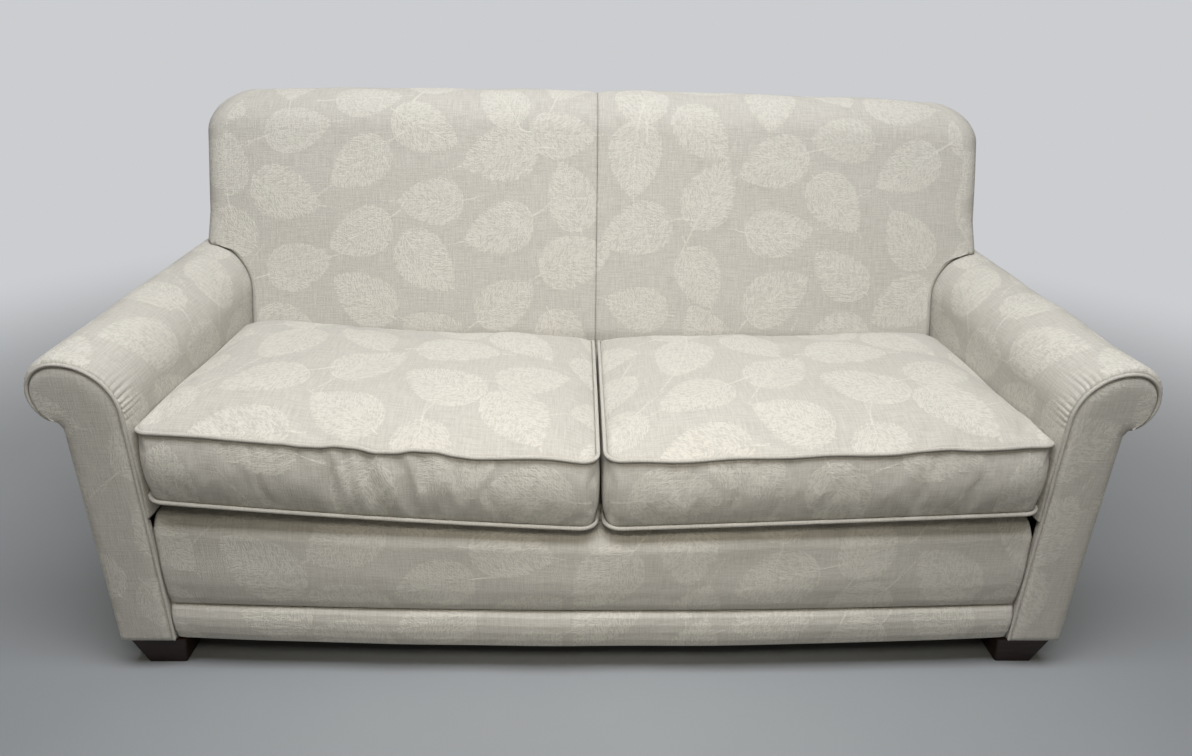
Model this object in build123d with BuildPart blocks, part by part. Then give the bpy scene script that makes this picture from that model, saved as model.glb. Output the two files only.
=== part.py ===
from build123d import *
import os
from math import atan2, cos, radians, sin, sqrt, tan

os.makedirs("parts", exist_ok=True)

# A two-seat sofa with rolled arms, a tight back and two loose seat cushions.
# Millimetres and degrees. The origin is on the floor under the middle of the sofa,
# +X is to the right of someone facing the sofa, +Y is towards its back and +Z is up.

# Seat, deck and cushions
SEAT_HALF_WIDTH = 746       # centre line to the inside face of an arm
SEAT_DEPTH = 515            # arm faces to the rear welts of the cushions
DECK_HEIGHT = 334           # floor to the deck beside an arm
SEAT_SAG = 31               # how far the deck dips at the centre line
DECK_PAD = 30               # thickness of the deck padding beside an arm
CUSHION_BOXING = 133        # height of a cushion's side band
CUSHION_CROWN = 32          # how far the top of a cushion stands over its welts
CUSHION_EDGE_CROWN = 3      # crown left at the front and rear edges
CUSHION_PULL = 4            # how far the side bands draw in at mid depth
CUSHION_CORNER = 34         # plan radius of a cushion's corners
CORNER_EASE = 0.45          # how far the corner rounding runs out past the side bands
CUSHION_SIDE_GAP = 3        # room between a cushion and an arm
CUSHION_MIDDLE_GAP = 1      # room from the centre line to a cushion
WELT = 8                    # diameter of every covered cord
ZIP_LENGTH = 560
ZIP_TAPE = 24
ZIP_TAPE_DEPTH = 1.2
ZIP_TEETH_WIDTH = 5
ZIP_TEETH_DEPTH = 1.5
ZIP_END = 22                # from the end of the tape to the middle of the closed slider
SLIDER_LENGTH = 16
SLIDER_WIDTH = 11
SLIDER_DEPTH = 3.2
SLIDER_PULL = 24

# Arms
ARM_WIDTH = 99              # inside face to outside panel, below the roll
ARM_HEIGHT = 606            # top of the roll at the front
ARM_RISE = 30               # how much higher the roll is at the rear
ROLL_RADIUS = 56
ROLL_OVERHANG = 49          # how far the roll stands out past the outside panel
ROLL_WRAP = 165             # degrees the cover runs from the top of the roll to under it
ARM_PAD = 18
POST_CUTBACK = 5            # room left between the front post and the padding under the roll
ARM_TUCK = 26               # deck to the tucked lower edge of the inside cover
FACING_DEPTH = 12           # thickness of the panel on the front of an arm
FACING_SIDE = 2             # inside face of the arm to the facing's edge
FACING_DROP = 7             # top of the roll to the facing's edge
FACING_ROUND = 86           # inside upper corner of the facing
FACING_ROLL = 53            # radius of the facing's scroll
FACING_WRAP = 155

# Back
BACK_HEIGHT = 940
BACK_SIDE_SET = 2           # outside arm panels to the sides of the back
BACK_RECLINE = 19
BACK_RAKE = 2               # lean of the outside back
BACK_GAP = 7                # room for the cushion zips
BACK_PAD = 100
BACK_CLEARANCE = 4          # deck beside an arm to the lower edge of the inside back
BACK_TACK_RISE = 15         # lower edge of the inside back to its tack rail
LUMBAR_HEIGHT = 465         # below this the inside back is upright
TOP_ROLL = 105              # radius over the top front edge
TOP_FLAT = 26.5             # level run over the top, from the front roll to the rear one
REAR_ROLL = 38              # drop from the top to the outside back panel
TOP_CROWN = 14              # how much lower the top is at its ends
TOP_CORNER = 80             # corner radius of the back seen from the front
SIDE_ROUND = 46             # rounding between the inside back and its sides
FACE_SET = 2                # how far the reclined face starts behind the lumbar line
SEAM_DIP = 10               # depth of the crease at the centre seam
SIDE_DIP = 7                # how far the inside back falls away beside its rounding

# Frame, feet and fixings
FOOT_HEIGHT = 63
FOOT_TOP = 98
FOOT_BOTTOM = 68
FOOT_EDGE = 4
FOOT_INSET = 62             # outside panel to the middle of a foot
FOOT_FRONT = 55             # arm faces to the middle of a front foot
FOOT_REAR = 55              # foot of the outside back to the middle of a rear foot
BOLT = 8
BOLT_IN_FOOT = 30
NUT_BARREL = 10
NUT_FLANGE = 22
NUT_FLANGE_DEPTH = 1.6
NUT_LENGTH = 12
BLOCK_HEIGHT = 40
BLOCK_SIZE = 80
BOARD = 26                  # thickness of the frame timber
PANEL = 4                   # board and cover of the outside panels
BASE_RAIL = 68              # height of the side rails and the band in front
RAIL_TOP = 262              # floor to the top of the rails that carry the springs
ROLL_RAIL = 42
TOP_RAIL = 24
TOP_RAIL_ANGLE = 57         # where the arm's top rail meets the inside of the roll
ARM_TACK_RAIL = 45
BACK_TACK_RAIL = 60
BACK_TOP_RAIL = 75
FRAME_CLEARANCE = 104       # top of the back to the top of its frame
STRETCHER = 76
CENTRE_POST = 36
DUST_COVER = 1
SPRING_COUNT = 8
SPRING_INSET = 98.5         # inside face of an arm to the middle of the outer spring
SPRING_BARS = 15
SPRING_WIDTH = 46
SPRING_BEND = 9
WIRE = 4
CLIP_WALL = 2
CLIP_LENGTH = 26
STRAP_COUNT = 6
STRAP_INSET = 140           # back post to the middle of the outer strap
STRAP_WIDTH = 50
STRAP_DEPTH = 1.6

# Cloth and fits
FABRIC = 2
EDGE_ROUND = 2              # small rounding on the edges of panels and sliders
LAYER_GAP = 0.3             # between one soft layer and the next
BODY_GAP = 1                # between the arms and the back that sits over them
BORDER_FRONT = 3            # arm faces to the front of the padded border
BAND_FRONT = 1              # arm faces to the front of the lower band
BAND_GAP = 2                # between the band and the border
BORDER_ROUND = 28           # rounding of the border's top front edge
BORDER_DROP = 18            # deck to the top of the border
BORDER_RETURN = 44          # how far the border runs back over the front rail
DECK_SIDE_GAP = 4

# Places that follow from the dimensions
RAIL_BOTTOM = FOOT_HEIGHT + DUST_COVER
OUTSIDE_BACK_TOP = BACK_HEIGHT - REAR_ROLL
RAKE_SLOPE = tan(radians(BACK_RAKE))
RECLINE_SLOPE = tan(radians(BACK_RECLINE))
REAR_LEAN = (OUTSIDE_BACK_TOP - RAIL_BOTTOM) * RAKE_SLOPE
BACK_FACE = SEAT_DEPTH + BACK_GAP
SHOULDER_Z = BACK_HEIGHT - TOP_ROLL * (1 - sin(radians(BACK_RECLINE)))
SHOULDER_DEPTH = BACK_FACE + (SHOULDER_Z - LUMBAR_HEIGHT) * RECLINE_SLOPE
TOP_ROLL_DEPTH = SHOULDER_DEPTH + TOP_ROLL * cos(radians(BACK_RECLINE))
TOP_DEPTH = TOP_ROLL_DEPTH + TOP_FLAT + REAR_ROLL + LAYER_GAP + PANEL
BASE_DEPTH = TOP_DEPTH - REAR_LEAN
OVERALL_DEPTH = WELT + TOP_DEPTH
FRONT_Y = WELT - OVERALL_DEPTH / 2
ARM_OUT = SEAT_HALF_WIDTH + ARM_WIDTH
BACK_HALF_WIDTH = ARM_OUT - BACK_SIDE_SET
POST_OUT = ARM_OUT - PANEL
POST_IN = POST_OUT - BOARD
ROLL_X = ARM_OUT + ROLL_OVERHANG - ROLL_RADIUS
ROLL_Z = ARM_HEIGHT - ROLL_RADIUS
ARM_ROUND = ROLL_X - SEAT_HALF_WIDTH
ARM_ROUND_Z = ARM_HEIGHT - ARM_ROUND
ARM_LEG_BOTTOM = DECK_HEIGHT - ARM_TUCK
BACK_BOTTOM = DECK_HEIGHT + BACK_CLEARANCE
PAD_INSET = FABRIC + LAYER_GAP
ARM_CORE = PAD_INSET + ARM_PAD + LAYER_GAP
ROLL_UNDERSIDE = ARM_HEIGHT - 2 * ROLL_RADIUS - BODY_GAP
POST_FRONT = FACING_DEPTH
RAIL_FRONT = FACING_DEPTH + BAND_GAP
RAIL_REAR = RAIL_FRONT + BOARD
FRAME_TOP = BACK_HEIGHT - FRAME_CLEARANCE
BACK_TACK_Z = BACK_BOTTOM + BACK_TACK_RISE
DECK_HALF_WIDTH = SEAT_HALF_WIDTH - DECK_SIDE_GAP
CUSHION_IN = CUSHION_MIDDLE_GAP + WELT + LAYER_GAP
CUSHION_OUT = SEAT_HALF_WIDTH - CUSHION_SIDE_GAP - WELT - LAYER_GAP
CUSHION_FRONT = LAYER_GAP
CUSHION_REAR = SEAT_DEPTH - WELT - LAYER_GAP
BAND_TOP = RAIL_BOTTOM + BASE_RAIL
BORDER_REAR = RAIL_FRONT + BORDER_RETURN
DECK_PAD_BOTTOM = DECK_HEIGHT - SEAT_SAG - DECK_PAD
SIDES = ("left", "right")


def behind(distance):
    """Y of a place this far behind the faces of the arms."""
    return FRONT_Y + distance


def face_plane(distance):
    """Upright plane across the sofa; drawings on it read X and Z, and minus is towards the back."""
    return Plane(origin=(0, behind(distance), 0), x_dir=(1, 0, 0), z_dir=(0, -1, 0))


def deck_z(x):
    """Top of the deck this far from the centre line."""
    return DECK_HEIGHT - SEAT_SAG * (1 - x / DECK_HALF_WIDTH)


def rear_y(z):
    """Outermost face of the outside back at this height."""
    return behind(BASE_DEPTH) + (z - RAIL_BOTTOM) * RAKE_SLOPE


def frame_y(z):
    """Front of the back frame at this height: reclined above the tack rail, upright below it."""
    return behind(BACK_FACE + BACK_PAD) + (max(z, BACK_TACK_Z) - LUMBAR_HEIGHT) * RECLINE_SLOPE


REAR_RAIL_FRONT = frame_y(0) + BODY_GAP
DECK_REAR = frame_y(0) - BODY_GAP
ARM_END = rear_y(ROLL_UNDERSIDE) - PANEL - BODY_GAP
ARM_LENGTH = ARM_END - behind(FACING_DEPTH)
ARM_SLOPE = ARM_RISE / ARM_LENGTH
ARM_WAY = Vector(0, 1, ARM_SLOPE).normalized()
ARM_RUN = ARM_LENGTH * sqrt(1 + ARM_SLOPE**2)
FRAME_FACE = Plane(
    origin=(0, frame_y(LUMBAR_HEIGHT), LUMBAR_HEIGHT),
    x_dir=(1, 0, 0),
    z_dir=(0, -cos(radians(BACK_RECLINE)), sin(radians(BACK_RECLINE))),
)
FOOT_X = ARM_OUT - FOOT_INSET
FOOT_PLACES = {
    "front_left": (-FOOT_X, behind(FOOT_FRONT)),
    "front_right": (FOOT_X, behind(FOOT_FRONT)),
    "rear_left": (-FOOT_X, behind(BASE_DEPTH - FOOT_REAR)),
    "rear_right": (FOOT_X, behind(BASE_DEPTH - FOOT_REAR)),
}


def save(piece, name):
    """Name one finished piece and write it out."""
    piece.part.label = name
    export_step(piece.part, f"parts/{name}.step")


def to_side(side):
    """Turn the piece being built over to the left of the sofa when it belongs there."""
    if side == "left":
        mirror(about=Plane.YZ, mode=Mode.REPLACE)


def arm_layer(outer, inner):
    """One arm layer: inside leg, inner round and roll, between two depths in the arm."""
    with BuildSketch(face_plane(FACING_DEPTH)) as section:
        with BuildLine():
            leg = Line((SEAT_HALF_WIDTH + outer, ARM_LEG_BOTTOM), (SEAT_HALF_WIDTH + outer, ARM_ROUND_Z))
            CenterArc((ROLL_X, ARM_ROUND_Z), ARM_ROUND - outer, 180, -90)
            roll = CenterArc((ROLL_X, ROLL_Z), ROLL_RADIUS - outer, 90, -ROLL_WRAP)
            leg_in = Line((SEAT_HALF_WIDTH + inner, ARM_LEG_BOTTOM), (SEAT_HALF_WIDTH + inner, ARM_ROUND_Z))
            CenterArc((ROLL_X, ARM_ROUND_Z), ARM_ROUND - inner, 180, -90)
            roll_in = CenterArc((ROLL_X, ROLL_Z), ROLL_RADIUS - inner, 90, -ROLL_WRAP)
            Line(leg @ 0, leg_in @ 0)
            Line(roll @ 1, roll_in @ 1)
        make_face()
    extrude(section.sketch, amount=ARM_RUN, dir=ARM_WAY)


def back_frame_room():
    """Take the back frame's own space out of an arm layer."""
    start = frame_y(0) - LAYER_GAP
    with BuildSketch(Plane.YZ.offset(SEAT_HALF_WIDTH - ARM_PAD)) as room:
        with BuildLine():
            Polyline(
                (start, RAIL_BOTTOM),
                (start, BACK_TACK_Z),
                (frame_y(BACK_HEIGHT) - LAYER_GAP, BACK_HEIGHT),
                (rear_y(BACK_HEIGHT), BACK_HEIGHT),
                (rear_y(BACK_HEIGHT), RAIL_BOTTOM),
                close=True,
            )
        make_face()
    extrude(room.sketch, amount=POST_OUT + LAYER_GAP - SEAT_HALF_WIDTH + ARM_PAD, mode=Mode.SUBTRACT)


def arm_room():
    """Take the space of a right arm, and all that lies below its top, out of the back."""
    inside = SEAT_HALF_WIDTH - BODY_GAP
    outside = ARM_OUT + ROLL_OVERHANG
    with BuildSketch(face_plane(FACING_DEPTH)) as room:
        with BuildLine():
            Line((inside, 0), (inside, ARM_ROUND_Z))
            CenterArc((ROLL_X, ARM_ROUND_Z), ARM_ROUND + BODY_GAP, 180, -90)
            Polyline(
                (ROLL_X, ARM_HEIGHT + BODY_GAP),
                (outside, ARM_HEIGHT + BODY_GAP),
                (outside, 0),
                (inside, 0),
            )
        make_face()
    extrude(room.sketch, amount=ARM_RUN + BOARD, dir=ARM_WAY, mode=Mode.SUBTRACT)


def facing_edge(inset):
    """Edge of an arm's facing from the inside bottom corner, over the top and round the scroll."""
    side_x = SEAT_HALF_WIDTH + FACING_SIDE
    top_z = ARM_HEIGHT - FACING_DROP
    round_center = (side_x + FACING_ROUND, top_z - FACING_ROUND)
    scroll_center = (ROLL_X - FACING_SIDE, top_z - FACING_ROLL)
    Line((side_x + inset, RAIL_BOTTOM), (side_x + inset, round_center[1]))
    CenterArc(round_center, FACING_ROUND - inset, 180, -90)
    Line((round_center[0], top_z - inset), (scroll_center[0], top_z - inset))
    return CenterArc(scroll_center, FACING_ROLL - inset, 90, -FACING_WRAP)


# Arms, one of each piece on either side
TOP_RAIL_REACH = ROLL_RADIUS - ARM_CORE - BODY_GAP
TOP_RAIL_Z = ROLL_Z + TOP_RAIL_REACH * sin(radians(TOP_RAIL_ANGLE))
TOP_RAIL_OUT = ROLL_X + TOP_RAIL_REACH * cos(radians(TOP_RAIL_ANGLE))
TOP_RAIL_IN = ROLL_X - sqrt((ARM_ROUND - ARM_CORE - BODY_GAP) ** 2 - (TOP_RAIL_Z - ARM_ROUND_Z) ** 2)
RAIL_CLIMB = BOARD * ARM_SLOPE

for side in SIDES:
    # Scroll-shaped post that carries the front of the arm
    with BuildPart() as front_post:
        with BuildSketch(face_plane(POST_FRONT)):
            with BuildLine():
                inner_edge = Line(
                    (SEAT_HALF_WIDTH + ARM_CORE, RAIL_BOTTOM), (SEAT_HALF_WIDTH + ARM_CORE, ARM_ROUND_Z)
                )
                CenterArc((ROLL_X, ARM_ROUND_Z), ARM_ROUND - ARM_CORE, 180, -90)
                scroll = CenterArc((ROLL_X, ROLL_Z), ROLL_RADIUS - ARM_CORE, 90, -90)
                Polyline(
                    scroll @ 1,
                    (POST_OUT, ROLL_Z - ROLL_RADIUS + ARM_CORE + POST_CUTBACK),
                    (POST_OUT, RAIL_BOTTOM),
                    inner_edge @ 0,
                )
            make_face()
        extrude(amount=-(RAIL_REAR - POST_FRONT))
        to_side(side)
    save(front_post, f"arm_front_post_{side}")

    # Rails from the front post to the back post
    with BuildPart() as top_rail:
        with BuildSketch(face_plane(RAIL_REAR)):
            with Locations(((TOP_RAIL_IN + TOP_RAIL_OUT) / 2, TOP_RAIL_Z - TOP_RAIL / 2 + RAIL_CLIMB)):
                Rectangle(TOP_RAIL_OUT - TOP_RAIL_IN, TOP_RAIL)
        extrude(amount=ARM_RUN, dir=ARM_WAY)
        split(bisect_by=FRAME_FACE, keep=Keep.TOP)
        to_side(side)
    save(top_rail, f"arm_top_rail_{side}")

    with BuildPart() as roll_rail:
        with BuildSketch(face_plane(RAIL_REAR)):
            with Locations(((POST_IN + POST_OUT) / 2, ROLL_UNDERSIDE - WELT - ROLL_RAIL / 2 + RAIL_CLIMB)):
                Rectangle(BOARD, ROLL_RAIL)
        extrude(amount=ARM_RUN, dir=ARM_WAY)
        split(bisect_by=FRAME_FACE, keep=Keep.TOP)
        to_side(side)
    save(roll_rail, f"arm_roll_rail_{side}")

    with BuildPart() as tack_rail:
        tack_x = SEAT_HALF_WIDTH + ARM_CORE + BOARD / 2
        with BuildSketch(face_plane(RAIL_REAR)):
            with Locations((tack_x, ARM_LEG_BOTTOM + ARM_TACK_RAIL / 2 + RAIL_CLIMB)):
                Rectangle(BOARD, ARM_TACK_RAIL)
        extrude(amount=ARM_RUN, dir=ARM_WAY)
        split(bisect_by=Plane(origin=(0, frame_y(0), 0), z_dir=(0, -1, 0)), keep=Keep.TOP)
        to_side(side)
    save(tack_rail, f"arm_tack_rail_{side}")

    with BuildPart() as side_rail:
        with BuildSketch(face_plane(RAIL_REAR)):
            with Locations(((POST_IN + POST_OUT) / 2, RAIL_BOTTOM + BASE_RAIL / 2)):
                Rectangle(BOARD, BASE_RAIL)
        extrude(amount=-(frame_y(0) - behind(RAIL_REAR)))
        to_side(side)
    save(side_rail, f"side_rail_{side}")

    # Padding and cover over the inside of the arm and its roll
    with BuildPart() as arm_pad:
        arm_layer(PAD_INSET, PAD_INSET + ARM_PAD)
        back_frame_room()
        to_side(side)
    save(arm_pad, f"arm_pad_{side}")

    with BuildPart() as arm_cover:
        arm_layer(0, FABRIC)
        with BuildSketch(face_plane(ARM_END - FRONT_Y)):
            with BuildLine():
                end_roll = CenterArc((ROLL_X, ROLL_Z + ARM_RISE), ROLL_RADIUS, 90, -ROLL_WRAP)
                Polyline(end_roll @ 1, (ROLL_X, (end_roll @ 1).Y), end_roll @ 0)
            make_face()
        extrude(amount=-FABRIC / 2)
        back_frame_room()
        to_side(side)
    save(arm_cover, f"arm_cover_{side}")

    # Facing on the front of the arm, with its welt
    with BuildPart() as facing:
        with BuildSketch(face_plane(0)):
            with BuildLine():
                scroll = facing_edge(WELT + LAYER_GAP)
                Polyline(
                    scroll @ 1,
                    (ARM_OUT, ROLL_UNDERSIDE - FACING_DROP),
                    (ARM_OUT, RAIL_BOTTOM),
                    (SEAT_HALF_WIDTH + FACING_SIDE + WELT + LAYER_GAP, RAIL_BOTTOM),
                )
            make_face()
        extrude(amount=-FACING_DEPTH)
        fillet(facing.faces().sort_by(Axis.Y)[0].edges(), radius=EDGE_ROUND)
        to_side(side)
    save(facing, f"arm_front_panel_{side}")

    with BuildPart() as facing_welt:
        with BuildLine(face_plane(FACING_DEPTH / 2)) as welt_path:
            facing_edge(WELT / 2)
        with BuildSketch(Plane(origin=welt_path.line @ 0, z_dir=welt_path.line % 0)):
            Circle(WELT / 2)
        sweep(path=welt_path.line)
        to_side(side)
    save(facing_welt, f"arm_front_welt_{side}")

    # Flat outside panel under the roll
    with BuildPart() as outside_panel:
        panel_front = behind(FACING_DEPTH) + LAYER_GAP
        rear_clear = PANEL + LAYER_GAP
        top_rear = ROLL_UNDERSIDE + ARM_RISE
        with BuildSketch(Plane.YZ.offset(POST_OUT)):
            with BuildLine():
                Polyline(
                    (panel_front, RAIL_BOTTOM),
                    (rear_y(RAIL_BOTTOM) - rear_clear, RAIL_BOTTOM),
                    (rear_y(ROLL_UNDERSIDE) - rear_clear, top_rear - BODY_GAP),
                    (panel_front, ROLL_UNDERSIDE),
                    close=True,
                )
            make_face()
        extrude(amount=PANEL)
        to_side(side)
    save(outside_panel, f"outside_arm_panel_{side}")

# Seat frame
SEAT_RAIL_HALF = SEAT_HALF_WIDTH + ARM_CORE

with BuildPart() as front_rail:
    with BuildSketch(face_plane(RAIL_FRONT)):
        with Locations((0, (RAIL_BOTTOM + RAIL_TOP) / 2)):
            Rectangle(2 * SEAT_RAIL_HALF, RAIL_TOP - RAIL_BOTTOM)
    extrude(amount=-BOARD)
save(front_rail, "front_rail")

with BuildPart() as rear_rail:
    with BuildSketch(face_plane(REAR_RAIL_FRONT - FRONT_Y)):
        with Locations((0, (RAIL_BOTTOM + RAIL_TOP) / 2)):
            Rectangle(2 * POST_IN, RAIL_TOP - RAIL_BOTTOM)
    extrude(amount=-BOARD)
save(rear_rail, "rear_rail")

with BuildPart() as centre_stretcher:
    with BuildSketch(face_plane(RAIL_REAR)):
        with Locations((0, RAIL_BOTTOM + STRETCHER / 2)):
            Rectangle(BOARD, STRETCHER)
    extrude(amount=-(REAR_RAIL_FRONT - behind(RAIL_REAR)))
save(centre_stretcher, "centre_stretcher")

# Corner blocks take the threaded nuts of the feet
BASE_RAIL_REAR = rear_y(RAIL_BOTTOM) - PANEL - LAYER_GAP
BLOCK_X = POST_IN - BLOCK_SIZE / 2
BLOCK_CENTRES = {
    "front": behind(RAIL_REAR) + BLOCK_SIZE / 2,
    "rear": BASE_RAIL_REAR - BOARD - BLOCK_SIZE / 2,
}

with BuildPart() as corner_blocks:
    with BuildSketch(Plane.XY.offset(RAIL_BOTTOM)):
        for block_y in BLOCK_CENTRES.values():
            with Locations((-BLOCK_X, block_y), (BLOCK_X, block_y)):
                Rectangle(BLOCK_SIZE, BLOCK_SIZE)
        with Locations(*FOOT_PLACES.values()):
            Circle(NUT_BARREL / 2 + LAYER_GAP / 2, mode=Mode.SUBTRACT)
    extrude(amount=BLOCK_HEIGHT)
save(corner_blocks, "corner_blocks")

# Sinuous springs lie across the seat from front to rear
SPRING_START = behind(RAIL_FRONT + BOARD / 2)
SPRING_STEP = (REAR_RAIL_FRONT + BOARD / 2 - SPRING_START) / (SPRING_BARS - 1)
SPRING_SPACING = 2 * (SEAT_HALF_WIDTH - SPRING_INSET) / (SPRING_COUNT - 1)
SPRING_XS = [SPRING_SPACING * (count - (SPRING_COUNT - 1) / 2) for count in range(SPRING_COUNT)]
SPRING_HALF = (SPRING_WIDTH - WIRE) / 2

with BuildPart() as seat_springs:
    for spring_x in SPRING_XS:
        bends = []
        for bar in range(SPRING_BARS):
            bar_y = SPRING_START + bar * SPRING_STEP
            turn = SPRING_HALF if bar % 2 == 0 else -SPRING_HALF
            bends.append((spring_x - turn, bar_y))
            bends.append((spring_x + turn, bar_y))
        with BuildSketch(Plane.XY.offset(RAIL_TOP)):
            with BuildLine():
                FilletPolyline(*bends, radius=SPRING_BEND)
            trace(line_width=WIRE)
        extrude(amount=WIRE)
save(seat_springs, "seat_springs")

# A clip over each end bar holds a spring to its rail
CLIP_HEIGHT = WIRE + LAYER_GAP + CLIP_WALL
CLIP_DEPTH = WIRE + 2 * LAYER_GAP + 2 * CLIP_WALL

with BuildPart() as spring_clips:
    for spring_x in SPRING_XS:
        with BuildSketch(Plane.YZ.offset(spring_x - CLIP_LENGTH / 2)):
            for end_y in (SPRING_START, SPRING_START + (SPRING_BARS - 1) * SPRING_STEP):
                with Locations((end_y, RAIL_TOP + CLIP_HEIGHT / 2)):
                    Rectangle(CLIP_DEPTH, CLIP_HEIGHT)
                with Locations((end_y, RAIL_TOP + (CLIP_HEIGHT - CLIP_WALL) / 2)):
                    Rectangle(CLIP_DEPTH - 2 * CLIP_WALL, CLIP_HEIGHT - CLIP_WALL, mode=Mode.SUBTRACT)
        extrude(amount=CLIP_LENGTH)
save(spring_clips, "spring_clips")


def deck_layer(drop, middle_bottom, side_bottom):
    """Half a deck layer, mirrored; its top follows the dip of the deck, this far below it."""
    with BuildSketch(face_plane(BORDER_REAR + LAYER_GAP)) as section:
        with BuildLine():
            Polyline(
                (0, deck_z(0) - drop),
                (DECK_HALF_WIDTH, deck_z(DECK_HALF_WIDTH) - drop),
                (DECK_HALF_WIDTH, side_bottom),
                (0, middle_bottom),
                close=True,
            )
        make_face()
    extrude(section.sketch, amount=-(DECK_REAR - behind(BORDER_REAR + LAYER_GAP)))
    mirror(about=Plane.YZ)


with BuildPart() as deck_pad:
    deck_layer(FABRIC, DECK_PAD_BOTTOM, DECK_PAD_BOTTOM)
save(deck_pad, "deck_pad")

with BuildPart() as deck_cover:
    deck_layer(0, deck_z(0) - FABRIC, deck_z(DECK_HALF_WIDTH) - FABRIC)
save(deck_cover, "deck_cover")

# Padded border in front of the deck, and the band under it
with BuildPart() as front_border:
    with BuildSketch(face_plane(BORDER_FRONT)):
        with BuildLine():
            Polyline(
                (0, BAND_TOP + BAND_GAP),
                (DECK_HALF_WIDTH, BAND_TOP + BAND_GAP),
                (DECK_HALF_WIDTH, deck_z(DECK_HALF_WIDTH) - BORDER_DROP),
                (0, deck_z(0) - BORDER_DROP),
                close=True,
            )
        make_face()
    extrude(amount=-(BORDER_REAR - BORDER_FRONT))
    fillet(front_border.faces().sort_by(Axis.Y)[0].edges().sort_by(Axis.Z)[-1], radius=BORDER_ROUND)
    with BuildSketch(face_plane(RAIL_FRONT)):
        with Locations((0, DECK_PAD_BOTTOM / 2)):
            Rectangle(2 * SEAT_HALF_WIDTH, DECK_PAD_BOTTOM)
    extrude(amount=-BORDER_RETURN, mode=Mode.SUBTRACT)
    mirror(about=Plane.YZ)
save(front_border, "front_border")

with BuildPart() as front_band:
    with BuildSketch(face_plane(BAND_FRONT)):
        with Locations((0, (RAIL_BOTTOM + BAND_TOP) / 2)):
            Rectangle(2 * DECK_HALF_WIDTH, BASE_RAIL)
    extrude(amount=-(RAIL_FRONT - BAND_FRONT))
    fillet(front_band.faces().sort_by(Axis.Y)[0].edges().filter_by(Axis.X), radius=EDGE_ROUND)
save(front_band, "front_band")

# Back frame
for side in SIDES:
    with BuildPart() as back_post:
        with BuildSketch(Plane.YZ.offset(POST_IN)):
            with BuildLine():
                Polyline(
                    (frame_y(0), RAIL_BOTTOM),
                    (frame_y(0), BACK_TACK_Z),
                    (frame_y(FRAME_TOP), FRAME_TOP),
                    (rear_y(FRAME_TOP) - PANEL - LAYER_GAP, FRAME_TOP),
                    (rear_y(RAIL_BOTTOM) - PANEL - LAYER_GAP, RAIL_BOTTOM),
                    close=True,
                )
            make_face()
        extrude(amount=BOARD)
        to_side(side)
    save(back_post, f"back_post_{side}")


def back_rail(bottom, top, half_width):
    """Board across the back frame, its front face lying on the reclined frame."""
    with BuildSketch(Plane.YZ.offset(-half_width)) as section:
        with BuildLine():
            Polyline(
                (frame_y(bottom), bottom),
                (frame_y(top), top),
                (frame_y(top) + BOARD, top),
                (frame_y(bottom) + BOARD, bottom),
                close=True,
            )
        make_face()
    extrude(section.sketch, amount=2 * half_width)


BACK_TACK_TOP = BACK_TACK_Z + BACK_TACK_RAIL
BACK_TOP_RAIL_Z = FRAME_TOP - BACK_TOP_RAIL

with BuildPart() as back_tack_rail:
    back_rail(BACK_TACK_Z, BACK_TACK_TOP, POST_IN)
save(back_tack_rail, "back_tack_rail")

with BuildPart() as back_top_rail:
    back_rail(BACK_TOP_RAIL_Z, FRAME_TOP, POST_IN)
save(back_top_rail, "back_top_rail")

with BuildPart() as back_centre_post:
    back_rail(BACK_TACK_TOP, BACK_TOP_RAIL_Z, CENTRE_POST / 2)
save(back_centre_post, "back_centre_post")

with BuildPart() as back_base_rail:
    with BuildSketch(Plane.YZ.offset(-POST_IN)):
        with Locations((BASE_RAIL_REAR - BOARD / 2, RAIL_BOTTOM + BASE_RAIL / 2)):
            Rectangle(BOARD, BASE_RAIL)
    extrude(amount=2 * POST_IN)
save(back_base_rail, "back_base_rail")

# Elastic straps down the back frame
STRAP_SPACING = 2 * (POST_IN - STRAP_INSET) / (STRAP_COUNT - 1)
STRAP_XS = [STRAP_SPACING * (count - (STRAP_COUNT - 1) / 2) for count in range(STRAP_COUNT)]

with BuildPart() as back_webbing:
    for strap_x in STRAP_XS:
        with BuildSketch(Plane.YZ.offset(strap_x - STRAP_WIDTH / 2)):
            with BuildLine():
                Polyline(
                    (frame_y(BACK_TACK_Z), BACK_TACK_Z),
                    (frame_y(FRAME_TOP), FRAME_TOP),
                    (frame_y(FRAME_TOP) - STRAP_DEPTH, FRAME_TOP),
                    (frame_y(BACK_TACK_Z) - STRAP_DEPTH, BACK_TACK_Z),
                    close=True,
                )
            make_face()
        extrude(amount=STRAP_WIDTH)
save(back_webbing, "back_webbing")


def back_outline(inset, bottom):
    """Right half of the back seen from the front, up to the crowned top and its round corner."""
    side_x = BACK_HALF_WIDTH - inset
    with BuildSketch(Plane.XZ) as outline:
        with BuildLine():
            Line((0, bottom), (0, BACK_HEIGHT - inset))
            top = ThreePointArc(
                (0, BACK_HEIGHT - inset),
                (side_x / 2, BACK_HEIGHT - inset - TOP_CROWN / 4),
                (side_x, BACK_HEIGHT - inset - TOP_CROWN),
            )
            Polyline(top @ 1, (side_x, bottom), (0, bottom))
        make_face()
        fillet(outline.vertices().group_by(Axis.X)[-1].sort_by(Axis.Y)[-1], radius=TOP_CORNER - inset)
    return outline.sketch


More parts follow.
